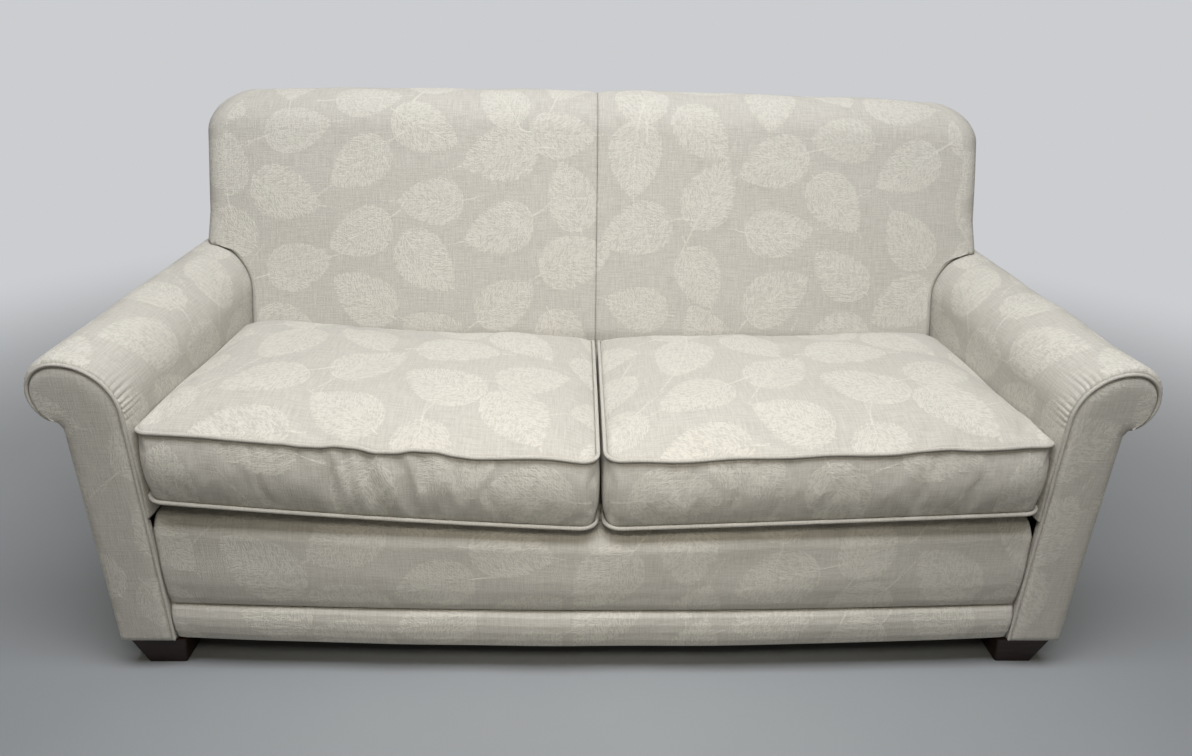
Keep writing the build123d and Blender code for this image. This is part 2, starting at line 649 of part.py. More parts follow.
def back_half(inset, bottom, open_rear):
    """Right half of the back's soft form: crowned face, round side, rolled top and round corner."""
    side_x = BACK_HALF_WIDTH - inset
    lean = radians(BACK_RECLINE)
    front = behind(BACK_FACE) + inset
    roll_y = behind(TOP_ROLL_DEPTH)
    roll_z = BACK_HEIGHT - TOP_ROLL
    rear_top_y = rear_y(OUTSIDE_BACK_TOP) - PANEL - LAYER_GAP
    reclined = Plane(
        origin=(0, behind(BACK_FACE), LUMBAR_HEIGHT), x_dir=(1, 0, 0), z_dir=(0, sin(lean), cos(lean))
    )
    with BuildPart() as form:
        with BuildSketch(reclined):
            with BuildLine():
                crest = FACE_SET + inset
                face = ThreePointArc(
                    (0, crest + SEAM_DIP), (side_x / 2, crest), (side_x - SIDE_ROUND, crest + SIDE_DIP)
                )
                side_round = TangentArc(face @ 1, (side_x, crest + SIDE_DIP + SIDE_ROUND), tangent=face % 1)
                Polyline(side_round @ 1, (side_x, BACK_HEIGHT), (0, BACK_HEIGHT), face @ 0)
            make_face()
        extrude(amount=BACK_HEIGHT, both=True)
        extrude(back_outline(inset, bottom), amount=BACK_HEIGHT, both=True, mode=Mode.INTERSECT)
        with BuildSketch(Plane.YZ):
            with BuildLine():
                over_top = CenterArc((roll_y, roll_z), TOP_ROLL - inset, 180 - BACK_RECLINE, BACK_RECLINE - 90)
                Polyline(
                    (front, bottom),
                    (front, LUMBAR_HEIGHT),
                    over_top @ 0,
                )
                top_run = Line(over_top @ 1, (rear_top_y - REAR_ROLL, BACK_HEIGHT - inset))
                rear_round = TangentArc(
                    top_run @ 1, (rear_top_y - inset, OUTSIDE_BACK_TOP), tangent=(1, 0)
                )
                rear_edge = [rear_round @ 1]
                if open_rear:
                    rear_edge.append((rear_top_y + BOARD, OUTSIDE_BACK_TOP))
                    rear_edge.append((rear_top_y + BOARD, bottom))
                else:
                    rear_edge.append((rear_y(bottom) - PANEL - LAYER_GAP - inset, bottom))
                Polyline(*rear_edge, (front, bottom))
            make_face()
        extrude(amount=BACK_HALF_WIDTH, mode=Mode.INTERSECT)
    return form.part


# Padding of the back, in front of the frame and over its top
pad_half = back_half(PAD_INSET, BACK_BOTTOM, False)

with BuildPart() as back_pad:
    add(pad_half)
    with BuildSketch(Plane.YZ):
        with BuildLine():
            pad_clear = STRAP_DEPTH + LAYER_GAP
            Polyline(
                (frame_y(0) - pad_clear, 0),
                (frame_y(0) - pad_clear, BACK_TACK_Z),
                (frame_y(FRAME_TOP + LAYER_GAP) - pad_clear, FRAME_TOP + LAYER_GAP),
                (rear_y(BACK_HEIGHT), FRAME_TOP + LAYER_GAP),
                (rear_y(BACK_HEIGHT), 0),
                close=True,
            )
        make_face()
    extrude(amount=BACK_HALF_WIDTH, mode=Mode.SUBTRACT)
    arm_room()
    mirror(about=Plane.YZ)
save(back_pad, "back_pad")

# Inside back cover in two halves, meeting at the centre seam
cover_outside = back_half(0, BACK_BOTTOM, False)
cover_inside = back_half(FABRIC, 0, True)

for side in SIDES:
    with BuildPart() as inside_back:
        add(cover_outside)
        add(cover_inside, mode=Mode.SUBTRACT)
        arm_room()
        to_side(side)
    save(inside_back, f"inside_back_{side}")

# Flat outside back panel
with BuildPart() as outside_back:
    extrude(back_outline(0, RAIL_BOTTOM), amount=BACK_HEIGHT, both=True)
    with BuildSketch(Plane.YZ):
        with BuildLine():
            Polyline(
                (rear_y(RAIL_BOTTOM), RAIL_BOTTOM),
                (rear_y(OUTSIDE_BACK_TOP), OUTSIDE_BACK_TOP),
                (rear_y(OUTSIDE_BACK_TOP) - PANEL, OUTSIDE_BACK_TOP),
                (rear_y(RAIL_BOTTOM) - PANEL, RAIL_BOTTOM),
                close=True,
            )
        make_face()
    extrude(amount=BACK_HALF_WIDTH, mode=Mode.INTERSECT)
    mirror(about=Plane.YZ)
save(outside_back, "outside_back")

# Cloth under the frame, with a hole for each foot's bolt
DUST_HALF = POST_OUT - BODY_GAP
DUST_FRONT = behind(RAIL_FRONT + BODY_GAP)
DUST_REAR = BASE_RAIL_REAR - BODY_GAP

with BuildPart() as dust_cover:
    with BuildSketch(Plane.XY.offset(FOOT_HEIGHT)):
        with Locations((0, (DUST_FRONT + DUST_REAR) / 2)):
            Rectangle(2 * DUST_HALF, DUST_REAR - DUST_FRONT)
        with Locations(*FOOT_PLACES.values()):
            Circle(NUT_BARREL / 2, mode=Mode.SUBTRACT)
    extrude(amount=DUST_COVER)
save(dust_cover, "dust_cover")

# Tapered block feet
for place, (foot_x, foot_y) in FOOT_PLACES.items():
    with BuildPart() as foot:
        with BuildSketch(Plane((foot_x, foot_y, 0))):
            RectangleRounded(FOOT_BOTTOM, FOOT_BOTTOM, FOOT_EDGE)
        with BuildSketch(Plane((foot_x, foot_y, FOOT_HEIGHT))):
            RectangleRounded(FOOT_TOP, FOOT_TOP, FOOT_EDGE)
        loft()
        with BuildSketch(Plane((foot_x, foot_y, FOOT_HEIGHT))):
            Circle(BOLT / 2 + LAYER_GAP / 2)
        extrude(amount=-BOLT_IN_FOOT, mode=Mode.SUBTRACT)
    save(foot, f"foot_{place}")

# Bolts of the feet, and the flanged nuts they turn into
BLOCK_TOP = RAIL_BOTTOM + BLOCK_HEIGHT

with BuildPart() as foot_bolts:
    with BuildSketch(Plane.XY.offset(FOOT_HEIGHT - BOLT_IN_FOOT)):
        with Locations(*FOOT_PLACES.values()):
            Circle(BOLT / 2)
    extrude(amount=BLOCK_TOP - FOOT_HEIGHT + BOLT_IN_FOOT)
save(foot_bolts, "foot_bolts")

with BuildPart() as foot_nuts:
    with BuildSketch(Plane.XY.offset(BLOCK_TOP)):
        with Locations(*FOOT_PLACES.values()):
            Circle(NUT_FLANGE / 2)
    extrude(amount=NUT_FLANGE_DEPTH)
    with BuildSketch(Plane.XY.offset(BLOCK_TOP)):
        with Locations(*FOOT_PLACES.values()):
            Circle(NUT_BARREL / 2)
    extrude(amount=-NUT_LENGTH)
    with BuildSketch(Plane.XY.offset(BLOCK_TOP + NUT_FLANGE_DEPTH)):
        with Locations(*FOOT_PLACES.values()):
            Circle(BOLT / 2 + LAYER_GAP / 2)
    extrude(amount=-2 * NUT_LENGTH, mode=Mode.SUBTRACT)
save(foot_nuts, "foot_nuts")


def cushion_z(x):
    """Underside of a cushion this far from the centre line."""
    return deck_z(x) + LAYER_GAP


def cushion_form(inset):
    """Right seat cushion: level bands with drawn-in sides, round corners and a crowned top."""
    middle = (CUSHION_FRONT + CUSHION_REAR) / 2
    stations = (
        (CUSHION_FRONT + inset, CUSHION_EDGE_CROWN, 0),
        (middle, CUSHION_CROWN, CUSHION_PULL),
        (CUSHION_REAR - inset, CUSHION_EDGE_CROWN, 0),
    )
    width = CUSHION_OUT - CUSHION_IN - 2 * inset
    depth = CUSHION_REAR - CUSHION_FRONT - 2 * inset
    corner = CUSHION_CORNER - inset + CORNER_EASE * (2 + sqrt(2))
    with BuildPart() as form:
        for distance, crown, pull in stations:
            inner_x = CUSHION_IN + inset + pull
            outer_x = CUSHION_OUT - inset - pull
            with BuildSketch(face_plane(distance)):
                with BuildLine():
                    underside = Line(
                        (inner_x, cushion_z(inner_x) + inset), (outer_x, cushion_z(outer_x) + inset)
                    )
                    height = CUSHION_BOXING - 2 * inset
                    outer_side = Line(underside @ 1, (underside @ 1) + Vector(0, height))
                    inner_side = Line(underside @ 0, (underside @ 0) + Vector(0, height))
                    crest = (inner_side @ 1 + outer_side @ 1) / 2 + Vector(0, crown)
                    ThreePointArc(inner_side @ 1, crest, outer_side @ 1)
                make_face()
        loft()
        with BuildSketch(Plane.XY):
            with Locations(((CUSHION_IN + CUSHION_OUT) / 2, behind(middle))):
                RectangleRounded(width + 2 * CORNER_EASE, depth + 2 * CORNER_EASE, corner)
        extrude(amount=BACK_HEIGHT, mode=Mode.INTERSECT)
    return form.part


# Seat cushions: foam core, cover, welts round the top and bottom, and a zip across the rear
SEAT_TILT = atan2(SEAT_SAG, DECK_HALF_WIDTH)
WELT_OUT = WELT / 2 + LAYER_GAP
CUSHION_MIDDLE_X = (CUSHION_IN + CUSHION_OUT) / 2
ZIP_PLANE = Plane(
    origin=(CUSHION_MIDDLE_X, behind(CUSHION_REAR), cushion_z(CUSHION_MIDDLE_X) + CUSHION_BOXING / 2),
    x_dir=(cos(SEAT_TILT), 0, sin(SEAT_TILT)),
    z_dir=(0, 1, 0),
)
CLOSED_SLIDER = ZIP_LENGTH / 2 - ZIP_END
cushion_outside = cushion_form(0)
cushion_inside = cushion_form(FABRIC)
cushion_filling = cushion_form(FABRIC + LAYER_GAP)

for side in SIDES:
    with BuildPart() as cushion_core:
        add(cushion_filling)
        to_side(side)
    save(cushion_core, f"seat_cushion_core_{side}")

    with BuildPart() as cushion_cover:
        add(cushion_outside)
        add(cushion_inside, mode=Mode.SUBTRACT)
        to_side(side)
    save(cushion_cover, f"seat_cushion_cover_{side}")

    with BuildPart() as cushion_welts:
        for welt_rise in (WELT / 2, CUSHION_BOXING - WELT / 4):
            tilted = Plane(
                origin=(0, 0, cushion_z(0) + welt_rise),
                x_dir=(cos(SEAT_TILT), 0, sin(SEAT_TILT)),
                z_dir=(-sin(SEAT_TILT), 0, cos(SEAT_TILT)),
            )
            near_x = (CUSHION_IN - WELT_OUT) / cos(SEAT_TILT)
            far_x = (CUSHION_OUT + WELT_OUT) / cos(SEAT_TILT)
            near_y = behind(CUSHION_FRONT - WELT_OUT)
            far_y = behind(CUSHION_REAR + WELT_OUT)
            with BuildLine(tilted) as welt_path:
                FilletPolyline(
                    (near_x, near_y),
                    (far_x, near_y),
                    (far_x, far_y),
                    (near_x, far_y),
                    radius=CUSHION_CORNER + WELT_OUT,
                    close=True,
                )
            with BuildSketch(Plane(origin=welt_path.line @ 0, z_dir=welt_path.line % 0)):
                Circle(WELT / 2)
            sweep(path=welt_path.line)
        to_side(side)
    save(cushion_welts, f"cushion_welts_{side}")

    with BuildPart() as cushion_zip:
        with BuildSketch(ZIP_PLANE):
            Rectangle(ZIP_LENGTH, ZIP_TAPE)
        extrude(amount=ZIP_TAPE_DEPTH)
        with BuildSketch(ZIP_PLANE.offset(ZIP_TAPE_DEPTH)):
            Rectangle(ZIP_LENGTH, ZIP_TEETH_WIDTH)
        extrude(amount=ZIP_TEETH_DEPTH)
        to_side(side)
    save(cushion_zip, f"cushion_zip_{side}")

    with BuildPart() as zip_slider:
        slider_base = ZIP_PLANE.offset(ZIP_TAPE_DEPTH + LAYER_GAP)
        with BuildSketch(slider_base):
            with Locations((CLOSED_SLIDER, 0)):
                RectangleRounded(SLIDER_LENGTH, SLIDER_WIDTH, EDGE_ROUND)
        extrude(amount=SLIDER_DEPTH)
        with BuildSketch(slider_base):
            with Locations((CLOSED_SLIDER, 0)):
                Rectangle(2 * SLIDER_LENGTH, ZIP_TEETH_WIDTH + 2 * LAYER_GAP)
        extrude(amount=ZIP_TEETH_DEPTH, mode=Mode.SUBTRACT)
        with BuildSketch(slider_base.offset(SLIDER_DEPTH - ZIP_TAPE_DEPTH / 2)):
            with Locations((CLOSED_SLIDER, SLIDER_PULL / 2)):
                RectangleRounded(SLIDER_WIDTH / 2, SLIDER_PULL, EDGE_ROUND)
        extrude(amount=ZIP_TAPE_DEPTH)
        to_side(side)
    save(zip_slider, f"zip_slider_{side}")
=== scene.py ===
# %% [markdown]
# # A two-seat sofa in woven leaf cloth
# The sofa has rolled arms, a tight back in two halves and two loose seat cushions with welts.
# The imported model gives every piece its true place, so this lesson loads it first and then
# dresses it: soft forms over the plain solids, a woven cloth with leaves, stained feet, light.
# Lengths are metres. +X is to the right of someone facing the sofa, +Y goes to its back, +Z is up.

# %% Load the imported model
import bpy
import numpy as np
from mathutils import Matrix


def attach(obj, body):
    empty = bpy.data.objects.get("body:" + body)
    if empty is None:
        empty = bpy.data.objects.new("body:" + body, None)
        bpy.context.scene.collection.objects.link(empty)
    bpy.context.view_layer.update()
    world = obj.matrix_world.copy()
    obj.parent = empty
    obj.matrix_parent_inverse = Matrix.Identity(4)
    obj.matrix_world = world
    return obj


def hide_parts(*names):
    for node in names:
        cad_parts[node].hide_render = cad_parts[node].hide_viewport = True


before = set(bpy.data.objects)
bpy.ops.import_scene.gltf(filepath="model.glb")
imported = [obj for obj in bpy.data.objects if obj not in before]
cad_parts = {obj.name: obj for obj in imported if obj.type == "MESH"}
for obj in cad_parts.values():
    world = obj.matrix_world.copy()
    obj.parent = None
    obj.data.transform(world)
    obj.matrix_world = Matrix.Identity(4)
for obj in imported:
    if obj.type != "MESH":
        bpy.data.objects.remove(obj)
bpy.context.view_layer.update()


# %% [markdown]
# ## From arrays to a mesh
# A soft piece is easiest to think of as two skins, a front and a rear, that meet round a rim.
# Each skin is a grid of points worked out by a formula, so no vertex is placed by hand.
# The same grid also gives every point its place on the flat cloth, in metres, as a UV map:
# the woven pattern then keeps its true scale on every piece and runs round every curve.

# %% Grids, loops and closed skins
ONE_TURN = 6.283              # radians in one turn, as the waves below count it
CORD_SIDES = 10


def quads_of(index, closed=False):
    """Faces of a grid of point numbers: each face takes a number, its right neighbour, and the two above."""
    left = index if closed else index[:, :-1]
    right = np.roll(index, -1, axis=1) if closed else index[:, 1:]
    return np.stack([left[:-1], right[:-1], right[1:], left[1:]], axis=-1).reshape(-1, 4)


def corners_of(grid):
    """The cloth places of a grid's face corners, in the order of quads_of."""
    corners = [grid[:-1, :-1], grid[:-1, 1:], grid[1:, 1:], grid[1:, :-1]]
    return np.stack(corners, axis=2).reshape(-1, 4, 2)


def edge_loop(grid):
    """The rim of a grid, once round: first row, last column, last row backwards, first column down."""
    return np.concatenate([grid[0, :-1], grid[:-1, -1], grid[-1, :0:-1], grid[:0:-1, 0]])


def running_length(line):
    """The length along a polyline from its start to each of its points."""
    return np.concatenate([[0], np.cumsum(np.linalg.norm(np.diff(line, axis=0), axis=1))])


def resample(line, count):
    """Points at even steps along a polyline: the running length of its parts is read back at even values."""
    line = np.asarray(line, float)
    run = running_length(line)
    even = np.linspace(0, run[-1], count)
    return np.stack([np.interp(even, run, part) for part in line.T], axis=1), even


def pairs(a, b):
    """Two numbers side by side at every point: a width and a height, or two lengths on the cloth."""
    return np.stack(np.broadcast_arrays(a, b), axis=-1)


def unit(ways):
    """The same ways, each of length 1."""
    return ways / np.linalg.norm(ways, axis=-1, keepdims=True)


def outward_ways(line):
    """The way out from each point of an outline: the outline's own way there, turned left."""
    ahead = unit(np.gradient(line, axis=0))
    return pairs(-ahead[:, 1], ahead[:, 0])


def arc(center, radius, start, turn, count=40):
    """Points on a circle from a start angle through a turn, both in degrees."""
    angle = np.radians(start + turn * np.linspace(0, 1, count))
    return pairs(center[0] + radius * np.cos(angle), center[1] + radius * np.sin(angle))


def ramp(value, start, length):
    """0 before the start, 1 from a length past it, straight between. A minus length runs the other way."""
    return np.clip((value - start) / length, 0, 1)


def ripple(a, b, seed, length):
    """Smooth unevenness from about -1 to 1: six sine waves across (a, b), their ways drawn from the seed."""
    draw = np.random.default_rng(seed)
    total = np.zeros(np.broadcast(a, b).shape)
    for way, stretch, phase in draw.uniform((0, 0.7, 0), (6.28, 1.5, 6.28), (6, 3)):
        total = total + np.sin(ONE_TURN * (a * np.cos(way) + b * np.sin(way)) / (length * stretch) + phase)
    return total / 3.6


def inside_out(points, faces):
    """True if the volume that the faces enclose, a sum of corner products, comes out negative."""
    a, b, c, d = (points[faces[:, k]] for k in range(4))
    volume = np.einsum("ij,ij->", a, np.cross(b, c)) + np.einsum("ij,ij->", a, np.cross(c, d))
    return volume < 0


def make_piece(name, points, blocks):
    """One mesh object from points and blocks of (faces, their places on the cloth)."""
    faces = np.concatenate([block[0] for block in blocks])
    places = np.concatenate([block[1] for block in blocks])
    if inside_out(points, faces):
        faces, places = faces[:, ::-1], places[:, ::-1]
    mesh = bpy.data.meshes.new(name)
    mesh.vertices.add(len(points))
    mesh.vertices.foreach_set("co", points.astype(np.float32).ravel())
    mesh.loops.add(faces.size)
    mesh.loops.foreach_set("vertex_index", faces.astype(np.int32).ravel())
    mesh.polygons.add(len(faces))
    mesh.polygons.foreach_set("loop_start", np.arange(0, faces.size, 4, dtype=np.int32))
    cloth = mesh.uv_layers.new(name="cloth")
    cloth.data.foreach_set("uv", places.astype(np.float32).ravel())
    mesh.update(calc_edges=True)
    mesh.polygons.foreach_set("use_smooth", np.ones(len(faces), bool))
    piece = bpy.data.objects.new(name, mesh)
    bpy.context.scene.collection.objects.link(piece)
    return piece


def skins(name, front, rear, rim, cloth):
    """A closed piece: a front grid, a rear grid and rim loops from the rear's edge to the front's.

    Both grids have the same places on the cloth. The rim's cloth is a strip: its places are the length
    round the edge and the length across. The strip's point numbers, from the rear's edge to the front's,
    are given back with the piece."""
    rows, cols = front.shape[:2]
    count = rows * cols
    front_index = np.arange(count).reshape(rows, cols)
    rear_index = front_index + count
    rim_index = 2 * count + np.arange(rim.shape[0] * rim.shape[1]).reshape(rim.shape[:2])
    strip = np.vstack([edge_loop(rear_index), rim_index, edge_loop(front_index)])
    points = np.concatenate([front.reshape(-1, 3), rear.reshape(-1, 3), rim.reshape(-1, 3)])
    round_it = running_length(np.concatenate([edge_loop(front), edge_loop(front)[:1]]))
    step = np.linalg.norm(np.diff(points[strip], axis=0), axis=2).mean(axis=1)
    across = np.concatenate([[0], np.cumsum(step)])
    strip_cloth = pairs(round_it, across[:, None])
    blocks = [
        (quads_of(front_index), corners_of(cloth)),
        (quads_of(rear_index)[:, ::-1], corners_of(cloth)[:, ::-1]),
        (quads_of(strip, closed=True), corners_of(strip_cloth)),
    ]
    return make_piece(name, points, blocks), strip


def straight_rim(front, rear, count):
    """Rim loops on straight lines from the rear's edge to the front's."""
    part = np.linspace(0, 1, count + 2)[1:-1, None, None]
    return (1 - part) * edge_loop(rear) + part * edge_loop(front)


def cord_round(name, path, radius, across, closed):
    """A covered cord: a circle carried along a path. The circle is spanned by the given direction,
    made square to the path, and by the direction square to both. Open ends are rounded and capped."""
    ahead = np.roll(path, -1, axis=0) - np.roll(path, 1, axis=0)
    ahead = unit(ahead if closed else np.gradient(path, axis=0))
    across = np.asarray(across, float)
    one = unit(across - (ahead @ across)[:, None] * ahead)
    two = np.cross(ahead, one)
    run = running_length(path)
    thick = radius * (1 + 0.05 * ripple(run, 0, 5, 0.03))
    if not closed:
        thick = thick * np.sqrt(np.clip(np.minimum(run, run[-1] - run) / radius, 0.02, 1))
    angle = np.linspace(0, 2 * np.pi, CORD_SIDES + 1)
    cosine, sine = (turn[None, :, None] for turn in (np.cos(angle[:-1]), np.sin(angle[:-1])))
    ring = cosine * one[:, None] + sine * two[:, None]
    points = (path[:, None] + thick[:, None, None] * ring).reshape(-1, 3)
    index = np.arange(len(points)).reshape(-1, CORD_SIDES)
    if closed:
        index = np.vstack([index, index[:1]])
        run = np.append(run, run[-1] + np.linalg.norm(path[0] - path[-1]))
    places = pairs(radius * angle, run[:, None])
    blocks = [(quads_of(index, closed=True), corners_of(places))]
    if not closed:
        fan = np.array([[0, k, k + 1, k + 2] for k in range(1, CORD_SIDES - 2, 2)])
        for ring_index in (index[0][::-1], index[-1]):
            blocks.append((ring_index[fan], np.zeros((len(fan), 4, 2))))
    return make_piece(name, points, blocks)


def smooth(piece, levels=1):
    """One live subdivision, the same on screen and in the render."""
    rounding = piece.modifiers.new("rounding", "SUBSURF")
    rounding.levels = levels
    rounding.render_levels = levels


def side_name(stem, side):
    """The name of a piece on the left, side -1, or on the right, side 1."""
    return stem + ("_left" if side < 0 else "_right")


# %% [markdown]
# ## The sofa's measurements
# The soft forms follow the same measures as the solids beneath them. Depths are counted from the
# plane of the arm faces, as a maker would lay the work out, and put into the frame at the end.

# %% Measures
ARM_FACES = -0.41063          # Y of the plane of the arm faces
SEAT_HALF = 0.746             # centre line to the inside of an arm
DECK_HALF = 0.742
DECK_TOP = 0.334              # deck beside an arm
SEAT_SAG = 0.031              # dip of the deck at the centre line
ARM_LENGTH = 0.798
ARM_RISE = 0.030
FACING_DEPTH = 0.012          # thickness of the panel on the front of an arm
FLOOR_GAP = 0.064             # floor to the lower edge of the cloth


def deck_height(x):
    """The deck is straight from each arm down to the centre line."""
    return DECK_TOP - SEAT_SAG * (1 - np.abs(x) / DECK_HALF)


def arm_climb(depth):
    """The arms rise evenly from their faces to the back."""
    return ARM_RISE * (depth - FACING_DEPTH) / ARM_LENGTH


def place(x, depth, z):
    """Points of the frame from widths, depths behind the arm faces, and heights."""
    return np.stack(np.broadcast_arrays(x, ARM_FACES + depth, z), axis=-1)


# %% [markdown]
# ## Shared effects: the weave and the leaves
# The cloth is a plain weave of slubbed yarn with broad leaves woven in a paler yarn. Both effects
# are node groups, built once: the weave gives thread and slub values, and the leaf group scatters
# one leaf in every cell of a jittered net, turned its own way, with a midrib, side veins, short
# strokes and a thin stem. The groups give out only values. The shader stays in each material.

# %% Node helpers
def feed(tree, node, inputs):
    """Give a node's inputs, by name or number, a value or another node's output."""
    for key, value in inputs.items():
        if isinstance(value, bpy.types.NodeSocket):
            tree.links.new(value, node.inputs[key])
        else:
            node.inputs[key].default_value = value


def add(tree, kind, inputs=None, **settings):
    """A new node of a kind, with its settings and its inputs."""
    node = tree.nodes.new("ShaderNode" + kind)
    for label, value in settings.items():
        setattr(node, label, value)
    feed(tree, node, inputs or {})
    return node


def calc(tree, operation, *values, clamp=False):
    """A maths node with numbers or other nodes' outputs on its inputs."""
    return add(tree, "Math", dict(enumerate(values)), operation=operation, use_clamp=clamp).outputs[0]


def times(tree, one, two):
    """A product."""
    return calc(tree, "MULTIPLY", one, two)


def plus(tree, one, two, clamp=False):
    """A sum, held between 0 and 1 if it is clamped."""
    return calc(tree, "ADD", one, two, clamp=clamp)


def split(tree, vector):
    """The three parts of a vector."""
    return add(tree, "SeparateXYZ", {0: vector}).outputs


def join(tree, x, y, z=0.0):
    """A vector from its parts."""
    return add(tree, "CombineXYZ", {0: x, 1: y, 2: z}).outputs[0]


def noise(tree, vector, scale, detail=2.0, stretch=(1, 1, 1)):
    """A noise texture on a stretched vector."""
    drawn_out = add(tree, "Mapping", {"Vector": vector, "Scale": stretch}).outputs[0]
    return add(tree, "TexNoise", {"Vector": drawn_out, "Scale": scale, "Detail": detail}).outputs["Fac"]


def step_up(tree, value, low, high):
    """0 below low, 1 above high, smooth between."""
    inputs = {"Value": value, "From Min": low, "From Max": high}
    return add(tree, "MapRange", inputs, interpolation_type="SMOOTHSTEP").outputs["Result"]


def new_group(name, inputs, outputs):
    """An empty node group with named inputs, given as (name, kind, value), and value outputs."""
    group = bpy.data.node_groups.new(name, "ShaderNodeTree")
    for label, kind, value in inputs:
        socket = group.interface.new_socket(label, in_out="INPUT", socket_type=kind)
        if value is not None:
            socket.default_value = value
    for label in outputs:
        group.interface.new_socket(label, in_out="OUTPUT", socket_type="NodeSocketFloat")
    return group, group.nodes.new("NodeGroupInput"), group.nodes.new("NodeGroupOutput")


# %% Weave group
THREADS = 560                 # threads in a metre of the upholstery cloth


def make_weave():
    """Threads: a chequer of ridges, a warp wave times a weft wave. Slubs: long thin noise both ways."""
    tree, given, out = new_group(
        "slub weave",
        [("Cloth", "NodeSocketVector", None), ("Threads per metre", "NodeSocketFloat", THREADS)],
        ["Height", "Slubs", "Flecks"],
    )
    cloth = given.outputs["Cloth"]
    parts = split(tree, cloth)
    turn = times(tree, given.outputs["Threads per metre"], 2 * np.pi)
    warp = calc(tree, "SINE", times(tree, parts[0], turn))
    weft = calc(tree, "SINE", times(tree, parts[1], turn))
    weave = calc(tree, "MULTIPLY_ADD", times(tree, warp, weft), 0.5, 0.5)
    along = noise(tree, cloth, 1.0, 3.0, (24, 420, 1))
    athwart = noise(tree, cloth, 1.0, 3.0, (420, 24, 1))
    slubs = times(tree, plus(tree, along, athwart), 0.5)
    flecks = noise(tree, cloth, 240.0, 4.0)
    height = plus(tree, times(tree, weave, 0.45), slubs)
    feed(tree, out, {"Height": height, "Slubs": slubs, "Flecks": flecks})
    return tree


weave_group = make_weave()

# %% Leaf group
LEAF_CELL = 0.148             # from one leaf to the next
HALF_LEAF = 0.076             # half a leaf's length
LEAF_JITTER = 0.20            # how far the leaves stray from an even net
LEAF_BREADTH = 0.67           # width of a leaf over its length
VEIN_SLANT = 0.6


def half_drop(tree, vector, amount):
    """The usual layout of woven repeats: each column is moved up or down by a share of its width."""
    parts = split(tree, vector)
    return join(tree, parts[0], calc(tree, "MULTIPLY_ADD", parts[0], amount, parts[1]))


def leaf_in_cell(tree, cloth, cell, half_leaf, feature):
    """The leaf of the nearest cell, or of the second nearest, so that a leaf may reach over its cell's edge.

    Along the leaf runs u from -1 at its foot to 1 at its tip, across it v. The half width is
    (1 + u)**0.5 * (1 - u)**0.8: round at the foot, pointed at the tip. The strokes are the zero lines of a
    noise drawn out along the side veins, which are the lines of equal u - slant*|v|. The stem runs on from
    the foot in a curve."""
    layout = {
        "Vector": half_drop(tree, cloth, -0.5),
        "Scale": calc(tree, "DIVIDE", 1.0, cell),
        "Randomness": LEAF_JITTER,
    }
    net = add(tree, "TexVoronoi", layout, voronoi_dimensions="2D", feature=feature).outputs
    middle = half_drop(tree, net["Position"], 0.5)
    apart = add(tree, "VectorMath", {0: cloth, 1: middle}, operation="SUBTRACT").outputs[0]
    chance = add(tree, "SeparateColor", {0: net["Color"]}).outputs
    angle = times(tree, chance[0], 2 * np.pi)
    turned = add(tree, "VectorRotate", {"Vector": apart, "Angle": angle}, rotation_type="Z_AXIS").outputs[0]
    parts = split(tree, turned)
    size = times(tree, half_leaf, calc(tree, "MULTIPLY_ADD", chance[1], 0.16, 0.92))
    u = calc(tree, "DIVIDE", parts[0], size)
    v = calc(tree, "DIVIDE", parts[1], times(tree, size, LEAF_BREADTH))
    bend = calc(tree, "MULTIPLY_ADD", chance[2], 0.24, -0.12)
    v = plus(tree, v, times(tree, times(tree, u, u), bend))
    side = calc(tree, "ABSOLUTE", v)

    foot = calc(tree, "POWER", calc(tree, "MAXIMUM", plus(tree, 1.0, u), 0.0), 0.5)
    tip = calc(tree, "POWER", calc(tree, "MAXIMUM", calc(tree, "SUBTRACT", 1.0, u), 0.0), 0.8)
    half = times(tree, foot, tip)
    slant = calc(tree, "MULTIPLY_ADD", side, -VEIN_SLANT, u)
    own = join(tree, times(tree, slant, 13.0), times(tree, v, 5.0), times(tree, chance[1], 60.0))
    wander = calc(tree, "ABSOLUTE", calc(tree, "SUBTRACT", noise(tree, own, 1.0, 2.0), 0.5))
    strokes = calc(tree, "SUBTRACT", 1.0, step_up(tree, wander, 0.03, 0.10))
    ragged = calc(tree, "MULTIPLY_ADD", strokes, 0.10, calc(tree, "SUBTRACT", half, side))
    leaf = step_up(tree, ragged, 0.02, 0.11)
    thin = calc(tree, "SUBTRACT", 0.5, step_up(tree, side, 0.012, 0.04), clamp=True)
    midrib = times(tree, leaf, thin)

    past = plus(tree, u, 1.0)
    bow = calc(tree, "MULTIPLY_ADD", chance[2], 1.4, -0.7)
    curve = plus(tree, v, times(tree, times(tree, past, past), bow))
    stem = calc(tree, "SUBTRACT", 1.0, step_up(tree, calc(tree, "ABSOLUTE", curve), 0.015, 0.045))
    stem = times(tree, stem, calc(tree, "LESS_THAN", u, -0.93))
    stem = times(tree, stem, step_up(tree, u, -1.75, -1.6))
    return leaf, times(tree, strokes, leaf), calc(tree, "MAXIMUM", midrib, stem)


